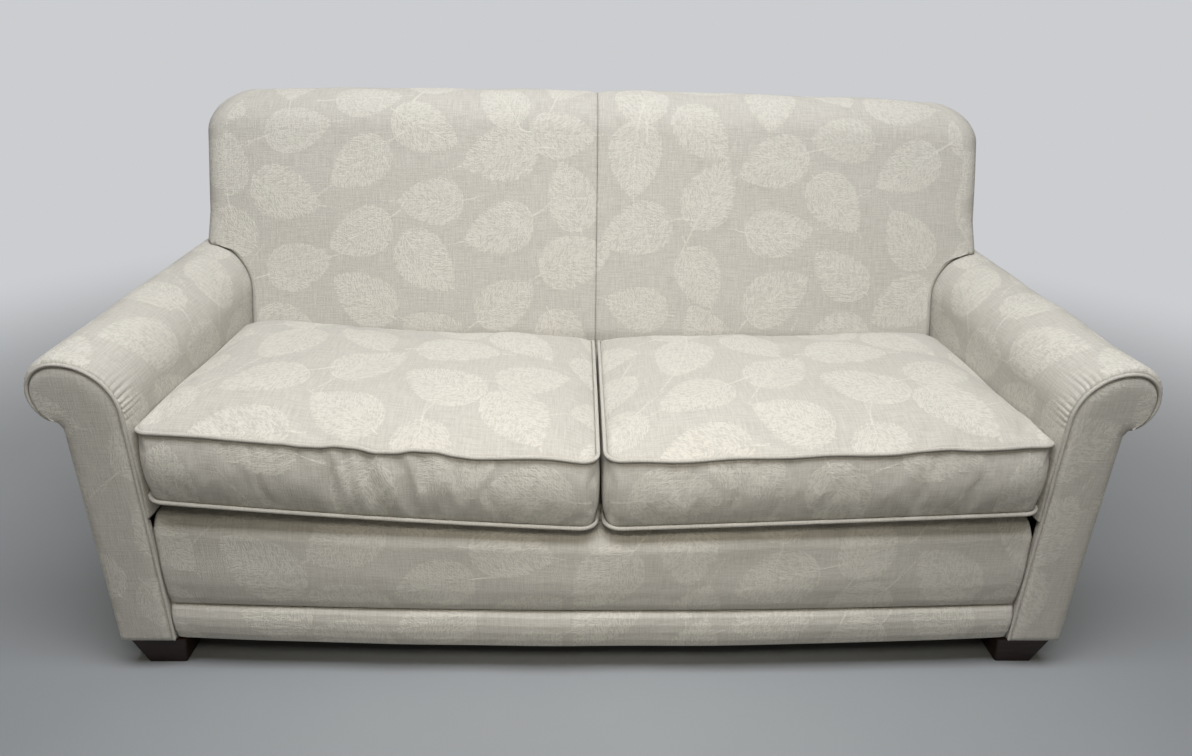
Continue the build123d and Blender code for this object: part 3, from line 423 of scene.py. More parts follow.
def make_leaves():
    """The leaf of the nearest cell laid over the leaf of the second nearest."""
    sizes = [("Cell", "NodeSocketFloat", LEAF_CELL), ("Half leaf", "NodeSocketFloat", HALF_LEAF)]
    labels = ["Leaf", "Strokes", "Ribs"]
    tree, given, out = new_group("woven leaves", [("Cloth", "NodeSocketVector", None), *sizes], labels)
    wanted = [given.outputs[label] for label in ("Cloth", "Cell", "Half leaf")]
    near = leaf_in_cell(tree, *wanted, "F1")
    next_near = leaf_in_cell(tree, *wanted, "F2")
    for label, one, two in zip(labels, near, next_near):
        feed(tree, out, {label: calc(tree, "MAXIMUM", one, two)})
    return tree


leaf_group = make_leaves()
print("node groups:", weave_group.name, "and", leaf_group.name)

# %% [markdown]
# ## The upholstery cloth
# The ground is a warm grey yarn and the leaves a cream one. Inside a leaf the cream comes and goes
# in short strokes, so the ground shows through between them. Cloth has no shine, so the roughness
# stays high and a little sheen stands for the loose fibres. Made pieces read their UV map. The flat
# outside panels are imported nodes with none, so there the pattern reads Object coordinates.

# %% Cloth materials
GROUND_DARK = (0.505, 0.480, 0.430, 1)
GROUND_LIGHT = (0.655, 0.628, 0.572, 1)
LEAF_CREAM = (0.800, 0.772, 0.692, 1)


def mix(tree, amount, one, two):
    """A colour between two, each a colour or another node's output."""
    return add(tree, "Mix", {"Factor": amount, 6: one, 7: two}, data_type="RGBA").outputs[2]


def new_material(name, roughness, color):
    """A material with its Principled shader; color is what it looks like from afar."""
    material = bpy.data.materials.new(name)
    material.use_nodes = True
    material.diffuse_color = color
    shader = material.node_tree.nodes["Principled BSDF"]
    shader.inputs["Roughness"].default_value = roughness
    return material, material.node_tree, shader


def add_bump(tree, shader, height, strength, distance):
    """Let a height shade the surface as if it were raised by up to a distance."""
    bump = add(tree, "Bump", {"Height": height, "Strength": strength, "Distance": distance})
    feed(tree, shader, {"Normal": bump.outputs[0]})


def cloth_places(tree, kind, shift):
    """The vector that places the pattern: the cloth's UV map, or the width or depth with the height."""
    source = add(tree, "TexCoord").outputs
    vector = source["UV"]
    if kind != "uv":
        parts = split(tree, source["Object"])
        vector = join(tree, parts["X" if kind == "across" else "Y"], parts["Z"])
    return add(tree, "Mapping", {"Vector": vector, "Location": shift}).outputs[0]


def make_cloth(name, kind="uv", shift=(0, 0, 0), leaves=True):
    """The woven cloth: ground yarns mixed by the slubs, cream where leaf and strokes say, threads as bump."""
    material, tree, shader = new_material(name, 0.9, (0.6, 0.56, 0.5, 1))
    vector = cloth_places(tree, kind, shift)
    yarn = {"Cloth": vector, "Threads per metre": THREADS}
    weave = add(tree, "Group", yarn, node_tree=weave_group).outputs
    slub = times(tree, step_up(tree, weave["Slubs"], 0.34, 0.66), 0.75)
    fleck = times(tree, step_up(tree, weave["Flecks"], 0.35, 0.65), 0.25)
    color = mix(tree, plus(tree, slub, fleck), GROUND_DARK, GROUND_LIGHT)
    height = weave["Height"]
    if leaves:
        layout = {"Cloth": vector, "Cell": LEAF_CELL, "Half leaf": HALF_LEAF}
        leaf = add(tree, "Group", layout, node_tree=leaf_group).outputs
        fill = times(tree, leaf["Leaf"], 0.10)
        fill = plus(tree, fill, times(tree, leaf["Strokes"], 0.42))
        fill = plus(tree, fill, times(tree, leaf["Ribs"], 0.30), clamp=True)
        color = mix(tree, fill, color, LEAF_CREAM)
        height = plus(tree, height, times(tree, fill, 0.7))
    add_bump(tree, shader, height, 0.75, 0.0020)
    sheen = {"Sheen Weight": 0.12, "Sheen Roughness": 0.5, "Specular IOR Level": 0.2}
    feed(tree, shader, {"Base Color": color, **sheen})
    return material


cushion_cloth = make_cloth("leaf cloth on the cushions", shift=(0.07, 0.05, 0))
arm_cloth = make_cloth("leaf cloth on the arms", shift=(0.31, 0.13, 0))
back_cloth = make_cloth("leaf cloth on the back", shift=(0.52, 0.87, 0))
front_cloth = make_cloth("leaf cloth on the front", shift=(0.15, 0.61, 0))
welt_cloth = make_cloth("cloth on the welts", shift=(0.4, 0.2, 0), leaves=False)
panel_cloth_across = make_cloth("leaf cloth on the outside back", kind="across", shift=(0.9, 0.3, 0))
panel_cloth_along = make_cloth("leaf cloth on the outside arms", kind="along", shift=(0.2, 0.7, 0))
print("cloth materials:", len(bpy.data.materials))


def dress(piece, material, body, slot, *nodes):
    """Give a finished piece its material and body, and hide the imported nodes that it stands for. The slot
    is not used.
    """
    piece.data.materials.append(material)
    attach(piece, body)
    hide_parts(*nodes)


# %% [markdown]
# ## Seat cushions
# A loose seat cushion is a block of foam in a sewn cover: a top and a bottom panel and a band, the
# boxing, between two welts. The foam pushes the panels out into a crown and the seams hold them in.
# The form below starts a little slack. Blender's Cloth then blows it up against its seams, which
# gives the soft swells and the small creases along the welts, and the result is kept as the mesh.

# %% Cushion form
CUSHION_IN = 0.0093           # centre line to a cushion's inner side
CUSHION_OUT = 0.7405
CUSHION_REAR = 0.5067
CUSHION_CORNER = 0.026
BOXING = 0.133                # height of the side band
CROWN = 0.032
WELT_RADIUS = 0.0037
WELT_OUT = 0.0036             # seam to the middle of its welt
CUSHION_COLUMNS, CUSHION_ROWS, BAND_LOOPS = 104, 62, 15


def round_corners(x, y, width, depth, radius):
    """Square corners to round ones: a corner's own (a, b), in radii, moves to
    (a * sqrt(1 - b*b/2), b * sqrt(1 - a*a/2)), which bends its outer edges into a quarter circle."""
    a = np.clip((np.abs(x) - width / 2) / radius + 1, 0, 1)
    b = np.clip((np.abs(y) - depth / 2) / radius + 1, 0, 1)
    round_x = np.sign(x) * (width / 2 - radius + radius * a * np.sqrt(1 - b * b / 2))
    round_y = np.sign(y) * (depth / 2 - radius + radius * b * np.sqrt(1 - a * a / 2))
    return np.where(a > 0, round_x, x), np.where(b > 0, round_y, y)


def creases(x, part, fold_at, seed):
    """Upright folds in the front band about one place, from -1 to 1: sharp ridges where an uneven wave
    crosses zero, leaning a little, strongest near the upper seam, fading to either side of the place."""
    lean = x - fold_at + 0.02 * (part - 0.5)
    wave = ripple(lean, 0.02 * part, seed, 0.052)
    ridge = 1 - 2.2 * np.abs(wave) ** 0.8
    return ridge * np.exp(-((lean / 0.10) ** 2)) * np.sin(np.pi * part) ** 0.5 * (0.3 + 0.7 * part)


def cushion_form(side, lift, fold_at, folds, seed):
    """Both panels are one grid on a rounded rectangle, u across and v deep from -1 to 1. The top rises by the
    crown times ((1 - |u|**a) * (1 - |v|**b))**0.62, with a and b larger, so steeper, on the sides that are
    pressed against the arm and the back. The boxing bulges as the sine of its height. The lift raises the
    panel's outer side, and folds is the depth of the creases about one place along the front."""
    width, depth = CUSHION_OUT - CUSHION_IN, CUSHION_REAR
    columns = np.linspace(-width / 2, width / 2, CUSHION_COLUMNS)
    across, deep = np.meshgrid(columns, np.linspace(-depth / 2, depth / 2, CUSHION_ROWS))
    u, v = 2 * across / width, 2 * deep / depth
    plan_x, plan_y = round_corners(across, deep, width, depth, CUSHION_CORNER)
    x = side * (plan_x + (CUSHION_OUT + CUSHION_IN) / 2)
    back = plan_y + depth / 2
    base = deck_height(x) + 0.0005
    raised = 0.004 + lift * (np.abs(x) / CUSHION_OUT) ** 2

    edge = np.maximum(np.abs(u), np.abs(v))
    near_fold = np.exp(-(((x - fold_at) / 0.15) ** 2))
    at_front = np.exp(-back / 0.05)
    at_seam = np.exp(-np.abs(back - 0.014) / 0.024)
    wander = 0.0030 * ripple(x, back, seed, 0.19) * ramp(v, 1, -0.3)
    wander = wander + 0.6 * folds * ripple(x, 0.3 * back, seed + 9, 0.11) * near_fold * at_front
    pucker = 0.5 * folds * ripple(x, 0.3 * back, seed + 7, 0.045) * near_fold * at_seam
    fall_across = 1 - np.abs(u) ** np.where(u > 0, 5, 3.2)
    fall_deep = 1 - np.abs(v) ** np.where(v > 0, 5, 3)
    swell = CROWN * (fall_across * fall_deep) ** 0.62
    by_back = 0.010 * ramp(v, 0.8, 0.2) ** 2
    by_arm = 0.006 * ramp(u, 0.85, 0.15) ** 2 * (1 + v) / 2
    pressed = by_back + by_arm
    uneven = 0.002 * ripple(x, back, seed + 1, 0.2) * (1 - edge**4) + pucker
    uneven = uneven + 0.022 * (1 - np.abs(x) / CUSHION_OUT) * (1 + v) / 2
    top = place(x, back, base + raised + BOXING - 0.004 + swell + wander + uneven - pressed)
    flat_part = ((1 - np.abs(u) ** 4) * (1 - np.abs(v) ** 4)) ** 0.6
    bottom = place(x, back, base + raised * (1 - flat_part))

    edge_x, edge_y = edge_loop(plan_x), edge_loop(plan_y)
    ahead = np.stack([np.roll(edge_x, -1) - np.roll(edge_x, 1), np.roll(edge_y, -1) - np.roll(edge_y, 1)])
    ahead /= np.linalg.norm(ahead, axis=0)
    away = np.stack([side * ahead[1], -ahead[0], 0 * ahead[0]], axis=-1)
    to_front = np.clip(-away[:, 1], 0, 1)
    at_sides = np.where(side * away[:, 0] > 0, 0.003, 0.005) * away[:, 0] ** 2
    bulge = 0.010 * to_front**2 + at_sides
    part = np.linspace(0, 1, BAND_LOOPS + 2)[1:-1]
    rim = straight_rim(top, bottom, BAND_LOOPS)
    rim = rim + (np.sin(np.pi * part) ** 0.8)[:, None, None] * (bulge[:, None] * away)
    folded = folds * creases(rim[:, :, 0], part[:, None], fold_at, seed + 4) * to_front
    rim = rim + folded[..., None] * away
    flat = pairs(side * across, deep)
    piece, strip = skins(side_name("seat_cushion", side), top, bottom, rim, flat)
    return piece, strip, away


# %% Cloth settling
SETTLING_FRAMES = 20


def mesh_points(piece):
    """The vertex places of a piece as an array."""
    points = np.empty(len(piece.data.vertices) * 3, np.float32)
    piece.data.vertices.foreach_get("co", points)
    return points.reshape(-1, 3).astype(float)


def settle(piece, pinned, slack, pressure, reach):
    """Blow up a sewn cover for twenty frames and keep the result. Pinned points stay. Any other point
    goes its own way but no further than its reach: the way is scaled by
    tanh(length / reach) / (length / reach)."""
    start = mesh_points(piece)
    held = piece.vertex_groups.new(name="seams")
    held.add([int(k) for k in pinned], 1.0, "REPLACE")
    cloth = piece.modifiers.new("settle", "CLOTH")
    how = cloth.settings
    how.quality = 6
    how.mass = 0.3
    how.tension_stiffness = 25
    how.compression_stiffness = 12
    how.shear_stiffness = 6
    how.bending_stiffness = 1.2
    how.vertex_group_mass = held.name
    how.use_pressure = True
    how.uniform_pressure_force = pressure
    how.shrink_min = -slack
    how.effector_weights.gravity = 0
    cloth.point_cache.frame_start = 1
    cloth.point_cache.frame_end = SETTLING_FRAMES
    scene = bpy.context.scene
    for moment in range(1, SETTLING_FRAMES + 1):
        scene.frame_set(moment)
    way = mesh_points(piece.evaluated_get(bpy.context.evaluated_depsgraph_get())) - start
    length = np.maximum(np.linalg.norm(way, axis=1), 1e-6)
    way = way * (np.tanh(length / reach) * reach / length)[:, None]
    piece.modifiers.remove(cloth)
    piece.vertex_groups.remove(held)
    scene.frame_set(1)
    piece.data.vertices.foreach_set("co", (start + way).astype(np.float32).ravel())
    piece.data.update()
    print(piece.name, "settled by up to", round(float(length.max()) * 1000, 1), "mm, kept within reach")


# %% Make both cushions with their welts
for side, word, lift, fold_at, folds, seed in (
    (-1, "left", 0.020, -0.36, 0.0060, 3),
    (1, "right", 0.004, 0.60, 0.0020, 11),
):
    cushion, strip, away = cushion_form(side, lift, fold_at, folds, seed)
    points = mesh_points(cushion)
    count = CUSHION_COLUMNS * CUSHION_ROWS
    facing_front = np.zeros(len(points))
    facing_front[strip] = np.broadcast_to(np.clip(-away[:, 1], 0, 1), strip.shape)
    reach = np.full(len(points), 0.010)
    reach[strip[1:-1]] = 0.004 + 0.008 * facing_front[strip[1:-1]]
    rear_band = strip[:, away[:, 1] > 0.5]
    pinned = np.unique(np.concatenate([np.arange(count, 2 * count), strip[-1], rear_band.ravel()]))
    settle(cushion, pinned, 0.012, 4.0, reach)
    points = mesh_points(cushion)
    body = f"cushion_{word}"
    inside_it = [f"seat_cushion_cover_{word}", f"seat_cushion_core_{word}"]
    dress(cushion, cushion_cloth, body, "upholstery", *inside_it)
    smooth(cushion)
    for level, row in (("lower", 0), ("upper", -1)):
        path = points[strip[row]] + WELT_OUT * away
        if level == "upper":
            pressed = np.clip(side * away[:, :1], 0, 1) ** 2 + np.clip(away[:, 1:2], 0, 1) ** 2
            path = path - pressed * (WELT_OUT * away + np.array([0, 0, 0.005]))
        cord = cord_round(f"cushion_{level}_welt_{word}", path, WELT_RADIUS, (0, 0, 1), True)
        dress(cord, welt_cloth, body, "welting", f"cushion_welts_{word}")
        smooth(cord)
print("cushions made, top at", round(float(points[:, 2].max()), 3))

# %% [markdown]
# ## Rolled arms
# A rolled arm is a padded board with cloth drawn over it: up the inside, over the top and round the
# roll to under it. At the front the cloth is gathered in behind the welt of the facing, so there the
# form rounds off from its full size to the facing's edge, with short gathers fanning out from it.

# %% Arm outline
ROLL = (0.838, 0.550)         # width and height of the middle of the roll
ROLL_RADIUS = 0.056
ARM_ROUND = 0.092             # radius of the inner round, from the inside of the arm to its top
ARM_LEG = (0.319, 0.514)      # heights of the straight inside of an arm
ARM_START, ARM_RUN = 0.006, 0.8045
ARM_PADDING = 0.019
ARM_COLUMNS, ARM_ROWS = 220, 150
FACING_INSIDE, FACING_TOP = 0.748, 0.599
FACING_OUT, FACING_NECK = 0.845, 0.486
FACING_ROUND, FACING_ROLL = 0.086, 0.053
FACING_ROLL_X = ROLL[0] - 0.002
FACING_POINTS = 130


def arm_outline(count):
    """The full outline in width and height, its outward way, and the facing's edge at the same steps.
    Half of the steps lie on the inner round, where the gathers are."""
    leg = pairs(SEAT_HALF, np.linspace(*ARM_LEG, 40))
    inner = arc((ROLL[0], ARM_LEG[1]), ARM_ROUND, 180, -90, 60)
    roll = arc(ROLL, ROLL_RADIUS, 90, -165, 70)
    fine, fine_run = resample(np.vstack([leg, inner[1:], roll[1:]]), 4 * count)
    run = np.interp(np.linspace(0, 1, count), [0, 0.22, 0.76, 1], [0, 0.165, 0.335, fine_run[-1]])
    full = np.stack([np.interp(run, fine_run, part) for part in fine.T], axis=1)
    leg_end = ARM_LEG[1] - ARM_LEG[0]
    inner_end = leg_end + ARM_ROUND * np.pi / 2
    turn_in = np.clip((run - leg_end) / (inner_end - leg_end), 0, 1)
    turn_out = np.clip((run - inner_end) / (run[-1] - inner_end), 0, 1)
    inner_part = run < inner_end
    angle = np.where(inner_part, np.pi - turn_in * np.pi / 2, np.pi / 2 - turn_out * np.radians(158))
    radius = np.where(inner_part, FACING_ROUND, FACING_ROLL)
    center_x = np.where(inner_part, FACING_INSIDE + FACING_ROUND, FACING_ROLL_X)
    center_z = FACING_TOP - radius
    edge = pairs(center_x + radius * np.cos(angle), center_z + radius * np.sin(angle))
    straight = pairs(FACING_INSIDE, full[:, 1])
    edge = np.where((run < leg_end)[:, None], straight, edge)
    return full, outward_ways(full), edge, run


def gathers(run, depth, strength, seed):
    """Short folds behind the facing's welt: narrow sine ridges along the outline, strongest on the inner
    round, that die out with depth."""
    phase = ONE_TURN * run / 0.0105 + 1.8 * ripple(run, 0, seed, 0.05)
    ridges = np.abs(np.sin(phase / 2)) ** 0.6 - 0.7
    uneven = np.clip(ripple(run, 0, seed + 1, 0.09) * 0.5 + 0.8, 0.2, 1.3)
    inner_round = ramp(run, 0.165, 0.04) * ramp(run, 0.32, -0.07)
    further = 0.25 * ramp(run, 0.29, 0.04) * ramp(run, 0.45, -0.05)
    length = 0.026 + 0.012 * ripple(run, 0, seed + 2, 0.03)
    fade = np.exp(-((np.clip(depth - FACING_DEPTH, 0, 1) / length) ** 1.4))
    return strength * ridges * uneven * (inner_round + further) * fade


def make_arm(side, strength, seed):
    """Rows go back along the arm. The first rows grow from the facing's edge to the full outline as a
    quarter circle. The inside of the padding follows 19 mm within it and closes the roll at the rear."""
    full, away, edge, run = arm_outline(ARM_COLUMNS)
    even = np.linspace(0, 1, ARM_ROWS)
    depth = (ARM_START + ARM_RUN * (0.62 * even**2 + 0.38 * even))[:, None]
    grown = ramp(depth, ARM_START, 0.016)
    behind_welt = 1 - np.sqrt(1 - (1 - grown) ** 2)
    tail = ramp(depth, 0.7985, 0.012)
    at_end = 0.010 * (1 - np.sqrt(1 - tail**2))
    soft = 0.0016 * ripple(depth, run, seed, 0.17) * ramp(depth, 0.53, -0.08)
    puff = soft + gathers(run, depth, strength, seed + 5) - at_end
    shape = full + behind_welt[..., None] * (edge - full) + puff[..., None] * away
    on_roll = ramp(full[:, 0], ROLL[0], 0.02) * (run > 0.33)
    shut = (0.98 * ramp(depth, 0.770, 0.030) * on_roll)[..., None]
    lining = (1 - shut) * (full - ARM_PADDING * away) + shut * np.array([ROLL[0] + 0.010, ROLL[1]])
    climb = arm_climb(depth)
    outer = place(side * shape[..., 0], depth, shape[..., 1] + climb)
    inner = place(side * lining[..., 0], depth, lining[..., 1] + climb)
    cloth = pairs(depth, run)
    return skins(side_name("arm", side), outer, inner, straight_rim(outer, inner, 2), cloth)[0]


# %% Facings and their welts
def facing_edge(inset, count):
    """The facing's edge from its inside foot, up, over the top and round the scroll, this far in."""
    inside = FACING_INSIDE + inset
    leg = np.array([[inside, FLOOR_GAP], [inside, FACING_TOP - FACING_ROUND]])
    corner = arc((FACING_INSIDE + FACING_ROUND, FACING_TOP - FACING_ROUND), FACING_ROUND - inset, 180, -90)
    scroll = arc((FACING_ROLL_X, FACING_TOP - FACING_ROLL), FACING_ROLL - inset, 90, -155)
    return resample(np.vstack([leg, corner[1:], scroll]), count)[0]


def make_facing(side):
    """Straight lines from the facing's inside edge to its outside edge, domed by 1 - (2w - 1)**6. Below the
    arm's padding the rear reaches 6 mm further in, behind the welt, and closes the gap beside the border."""
    inner = facing_edge(0.0066, FACING_POINTS)
    outside = np.array([[FACING_OUT, FACING_NECK], inner[-1] - [0.002, 0.004]])
    low = inner[:, 1] < FACING_NECK
    low[np.argmax(~low):] = False
    share = low.sum()
    scroll = np.vstack([[[FACING_OUT, inner[share - 1, 1]]], outside])
    outer = np.vstack([
        pairs(FACING_OUT, inner[:share, 1]),
        resample(scroll, FACING_POINTS + 1 - share)[0][1:],
    ])
    w = 0.5 - 0.5 * np.cos(np.pi * np.linspace(0, 1, 26))
    flat = inner[:, None] + w[None, :, None] * (outer - inner)[:, None]
    tuck = ramp(inner[:, 1], ARM_LEG[0], -0.006)
    tucked = inner - 0.0058 * pairs(tuck, 0)
    rear_flat = tucked[:, None] + w[None, :, None] * (outer - tucked)[:, None]
    foot = ramp(flat[..., 1], FLOOR_GAP, 0.010)
    dome = (1 - (2 * w - 1) ** 6)[None, :] * np.sqrt(1 - (1 - foot) ** 2)
    front = place(side * flat[..., 0], 0.004 - 0.0055 * dome, flat[..., 1])
    rear = place(side * rear_flat[..., 0], np.full(flat.shape[:2], 0.0118), rear_flat[..., 1])
    cloth = pairs(side * flat[..., 0], flat[..., 1])
    return skins(side_name("arm_front", side), front, rear, straight_rim(front, rear, 1), cloth)[0]


for side, word, strength, seed in ((-1, "left", 0.0022, 21), (1, "right", 0.0060, 34)):
    arm = make_arm(side, strength, seed)
    dress(arm, arm_cloth, "sofa", "upholstery", f"arm_cover_{word}", f"arm_pad_{word}")
    facing = make_facing(side)
    dress(facing, front_cloth, "sofa", "upholstery", f"arm_front_panel_{word}")
    line = facing_edge(0.0034, 220)
    path = place(side * line[:, 0], 0.0030, line[:, 1])
    cord = cord_round(f"arm_welt_{word}", path, 0.0031, (0, 1, 0), False)
    dress(cord, welt_cloth, "sofa", "welting", f"arm_front_welt_{word}")
    smooth(cord)
print("arms made, each", len(arm.data.polygons), "faces")

# %% [markdown]
# ## The tight back
# The back is two padded halves sewn together at the centre seam. Each half swells between the seam
# and its outer edge, rolls over the top and turns round the side, and its lower part lies between
# the arms, with the rest sitting over them. One profile, bottom to rear edge, is carried from the
# seam outwards. How far out it may go at each height is the back's outline.

# %% Back profile and outline
BACK_DEPTH = 0.522            # arm faces to the upright foot of the back
BACK_FOOT = 0.338
BACK_TOP = 0.940
BACK_HALF = 0.843             # centre line to the side of the back
TOP_CORNER = 0.082
ROUND_THE_ARM = 0.0927        # from the middle of an arm's inner round to the back over it
BETWEEN_ARMS = 0.7453         # centre line to the back between the arms
SEAM = 0.0003                 # centre line to a half
SIDE_TURN = 0.046             # rounding between the face and the side
BACK_ROWS, BACK_COLUMNS = 130, 120


def back_profile(count):
    """Depth and height up the face, over the front roll, along the top and down the rear round."""
    foot = np.array([[BACK_DEPTH, BACK_FOOT], [BACK_DEPTH, 0.440]])
    bend = np.array([[BACK_DEPTH + 0.003, 0.465], [BACK_DEPTH + 0.012, 0.492]])
    roll = arc((0.76045, 0.835), 0.105, 180 - 19, 19 - 90, 60)
    rear = arc((0.78695, 0.902), 0.038, 90, -90, 30)
    line, run = resample(np.vstack([foot, bend, roll, rear]), count)
    return line, outward_ways(line), run


def back_half_width(depth, z):
    """The outline: between the arms, out over an arm's round, then straight up to a round top corner."""
    past = np.clip(z - BACK_TOP + TOP_CORNER, 0, TOP_CORNER)
    corner = BACK_HALF - TOP_CORNER + np.sqrt(TOP_CORNER**2 - past**2)
    over = z - ARM_LEG[1] - arm_climb(depth)
    beside = ROLL[0] - np.sqrt(np.clip(ROUND_THE_ARM**2 - np.clip(over, 0, None) ** 2, 0, None))
    beside = np.where(over >= ROUND_THE_ARM, 1.0, np.where(over <= 0, BETWEEN_ARMS, beside))
    return np.minimum(corner, beside)


def crowned(width, depth, height):
    """The top falls by 10 mm towards its ends, as the square of the width, but not at the rear edge."""
    upper = ramp(height, 0.70, 0.24) * ramp(depth, 0.822, -0.03)
    return height + (0.002 - 0.010 * (width / BACK_HALF) ** 2) * upper * upper * (3 - 2 * upper)


def to_deck(x, z):
    """How far the foot of the back comes down to follow the sag of the deck."""
    return (DECK_TOP - deck_height(x)) * ramp(z, 0.44, -0.10)


def make_back(side, seed):
    """Front skin: profile rows, from the seam to where the side starts to turn. Rim: a quarter turn of the
    side's radius, then a wall that runs straight back to the rear skin."""
    line, away, run = back_profile(BACK_ROWS)
    depth, z = line[:, :1], line[:, 1:]
    turn = np.interp(line[:, 1], [0.60, 0.70], [0.012, SIDE_TURN])
    over_top = np.interp(run, [run[-1] - 0.16, run[-1] - 0.07, run[-1]], [SIDE_TURN, 0.030, 0.006])
    turn = np.where(run > run[-1] - 0.16, over_top, turn)[:, None]
    even = np.linspace(0, 1, BACK_COLUMNS)[None]
    even = 0.55 * even + 0.45 * (0.5 - 0.5 * np.cos(np.pi * even))
    end = back_half_width(depth, z) - turn
    x = SEAM + even * (end - SEAM)
    crease = 0.005 * np.exp(-x / 0.008) + 0.002 * np.exp(-((x / 0.07) ** 2))
    edge_fall = 0.006 * (x / 0.8) ** 4
    uneven = 0.0018 * ripple(x * side, run[:, None], seed, 0.21) * ramp(x, 0, 0.1)
    drawn = crease + edge_fall - uneven
    front_depth = depth - drawn * away[:, :1]
    front_z = z - drawn * away[:, 1:] - to_deck(x, z)
    front = place(side * x, front_depth, crowned(x, front_depth, front_z))

    part = (run / run[-1])[:, None]
    rear_z = BACK_FOOT + (0.900 - BACK_FOOT) * part
    rear_depth = 0.800 + (rear_z - FLOOR_GAP) * np.tan(np.radians(2)) - 0.0046
    wide = back_half_width(rear_depth, rear_z)
    rear_x = SEAM + even * (wide - SEAM)
    rear = place(side * rear_x, rear_depth, rear_z - to_deck(rear_x, rear_z))

    rim = straight_rim(front, rear, 24)
    angle = np.linspace(0, np.pi / 2, 11)[1:]
    inward = turn[:, 0] * (1 - np.cos(angle))[:, None]
    round_depth = front_depth[:, -1] - inward * away[:, 0]
    round_z = front_z[:, -1] - inward * away[:, 1]
    round_x = back_half_width(round_depth, round_z) - turn[:, 0] * (1 - np.sin(angle))[:, None]
    reach = np.linspace(0, 1, 16)[1:-1, None]
    wall_depth = round_depth[-1] + reach * (rear_depth[:, 0] - round_depth[-1])
    wall_z = round_z[-1] + reach * (rear_z[:, 0] - round_z[-1])
    turned_x = np.vstack([round_x, back_half_width(wall_depth, wall_z)])
    turned_depth = np.vstack([round_depth, wall_depth])
    turned_z = crowned(turned_x, turned_depth, np.vstack([round_z, wall_z]))
    turned = place(side * turned_x, turned_depth, turned_z)
    rim[:, BACK_COLUMNS - 1:BACK_COLUMNS - 1 + BACK_ROWS] = turned[::-1]
    cloth = pairs(side * x, run[:, None])
    return skins(side_name("inside_back", side) + "_form", front, rear, rim, cloth)[0]


for side, word, seed in ((-1, "left", 51), (1, "right", 64)):
    back = make_back(side, seed)
    dress(back, back_cloth, "sofa", "upholstery", f"inside_back_{word}", "back_pad")
print("back halves made, each", len(back.data.polygons), "faces")

# %% [markdown]
# ## Deck, border and band
# Under the cushions lies a padded deck. In front of it the border hangs over the front rail, soft and
# a little full, and below that a band covers the rail's foot. Both are drawn in at their seams.

# %% Border, band and deck
FRONT_HALF = 0.7492           # centre line to the ends of border and band
BAND_TOP = 0.132
BORDER_TALL, BORDER_ROUND, BORDER_DROP = 0.1665, 0.040, 0.018
FRONT_ROWS, FRONT_COLUMNS = 44, 170
DECK_WIDE, DECK_FRONT, DECK_BACK = 0.7418, 0.0590, 0.5795


def at_middle(x):
    """1 at the centre line, 0 at the arms, a parabola between."""
    return 1 - (x / FRONT_HALF) ** 2


def end_round(x, length):
    """A quarter circle from 0 to 1 over a length before each end."""
    near_end = np.clip(1 - (FRONT_HALF - np.abs(x)) / length, 0, 1)
    return 1 - np.sqrt(1 - near_end**2)


def make_front(name, front_line, rear_line, height_of, bow):
    """A long padded strip: one profile of depths and heights, carried across the sofa and stretched to the
    height at each width. It lies 6 mm back at the arms and comes forward by the bow at the middle, most where
    the profile is foremost. The ends round off over 12 mm."""
    front_line, run = resample(front_line, FRONT_ROWS)
    rear_line = resample(rear_line, FRONT_ROWS)[0]
    x = np.linspace(-1, 1, FRONT_COLUMNS)
    x = FRONT_HALF * (0.6 * x + 0.4 * np.sin(np.pi * x / 2))
    low, high = height_of(x)
    stretch = (high - low) / front_line[-1, 1]
    inset = 0.005 * end_round(x, 0.012) + 0.006 - bow * at_middle(x)
    inset = inset * np.clip(1 - front_line[:, :1] / 0.05, 0, 1)
    middle = np.sin(np.pi * np.linspace(0, 1, FRONT_ROWS))[:, None]
    uneven = 0.0022 * ripple(x[None], run[:, None], 77, 0.20) * middle
    depth = np.minimum(front_line[:, :1] + inset + uneven, rear_line[:, :1] + 0.3 * middle)
    front = place(x + 0 * depth, depth, low + front_line[:, 1:] * stretch)
    rear = place(x + 0 * depth, rear_line[:, :1] + 0 * depth, low + rear_line[:, 1:] * stretch)
    cloth = pairs(x[None], run[:, None])
    return skins(name, front, rear, straight_rim(front, rear, 1), cloth)[0]


def seam_height(x):
    """The seam of border and band sags by 8 mm from the arms to the middle."""
    return BAND_TOP + 0.006 - 0.008 * at_middle(x)


def border_heights(x):
    """The border goes from the seam up to just under the deck. Its upper corners fall away at its ends:
    14 mm on the right, and hardly on the left."""
    corner_fall = np.where(x > 0, 0.014 * end_round(x, 0.020), 0.002 * end_round(x, 0.008))
    return seam_height(x) + 0.0005, deck_height(x) - BORDER_DROP - corner_fall


def band_heights(x):
    """The band goes from its lower edge, which sags by 9 mm, up to the seam."""
    return FLOOR_GAP + 0.001 - 0.009 * at_middle(x), seam_height(x)


border_front = np.vstack([
    [[0.0135, 0.0], [0.006, 0.003], [0.0005, 0.018], [-0.003, 0.050], [-0.003, 0.075], [-0.001, 0.100]],
    arc((0.040, BORDER_TALL - BORDER_ROUND), BORDER_ROUND, 164, -74, 14),
    [[0.057, BORDER_TALL]],
])
border_rear = [[0.0138, 0.0005], [0.0138, 0.148], [0.057, 0.150], [0.057, BORDER_TALL - 0.003]]
border = make_front("front_border_form", border_front, border_rear, border_heights, 0.011)
dress(border, front_cloth, "sofa", "upholstery", "front_border")

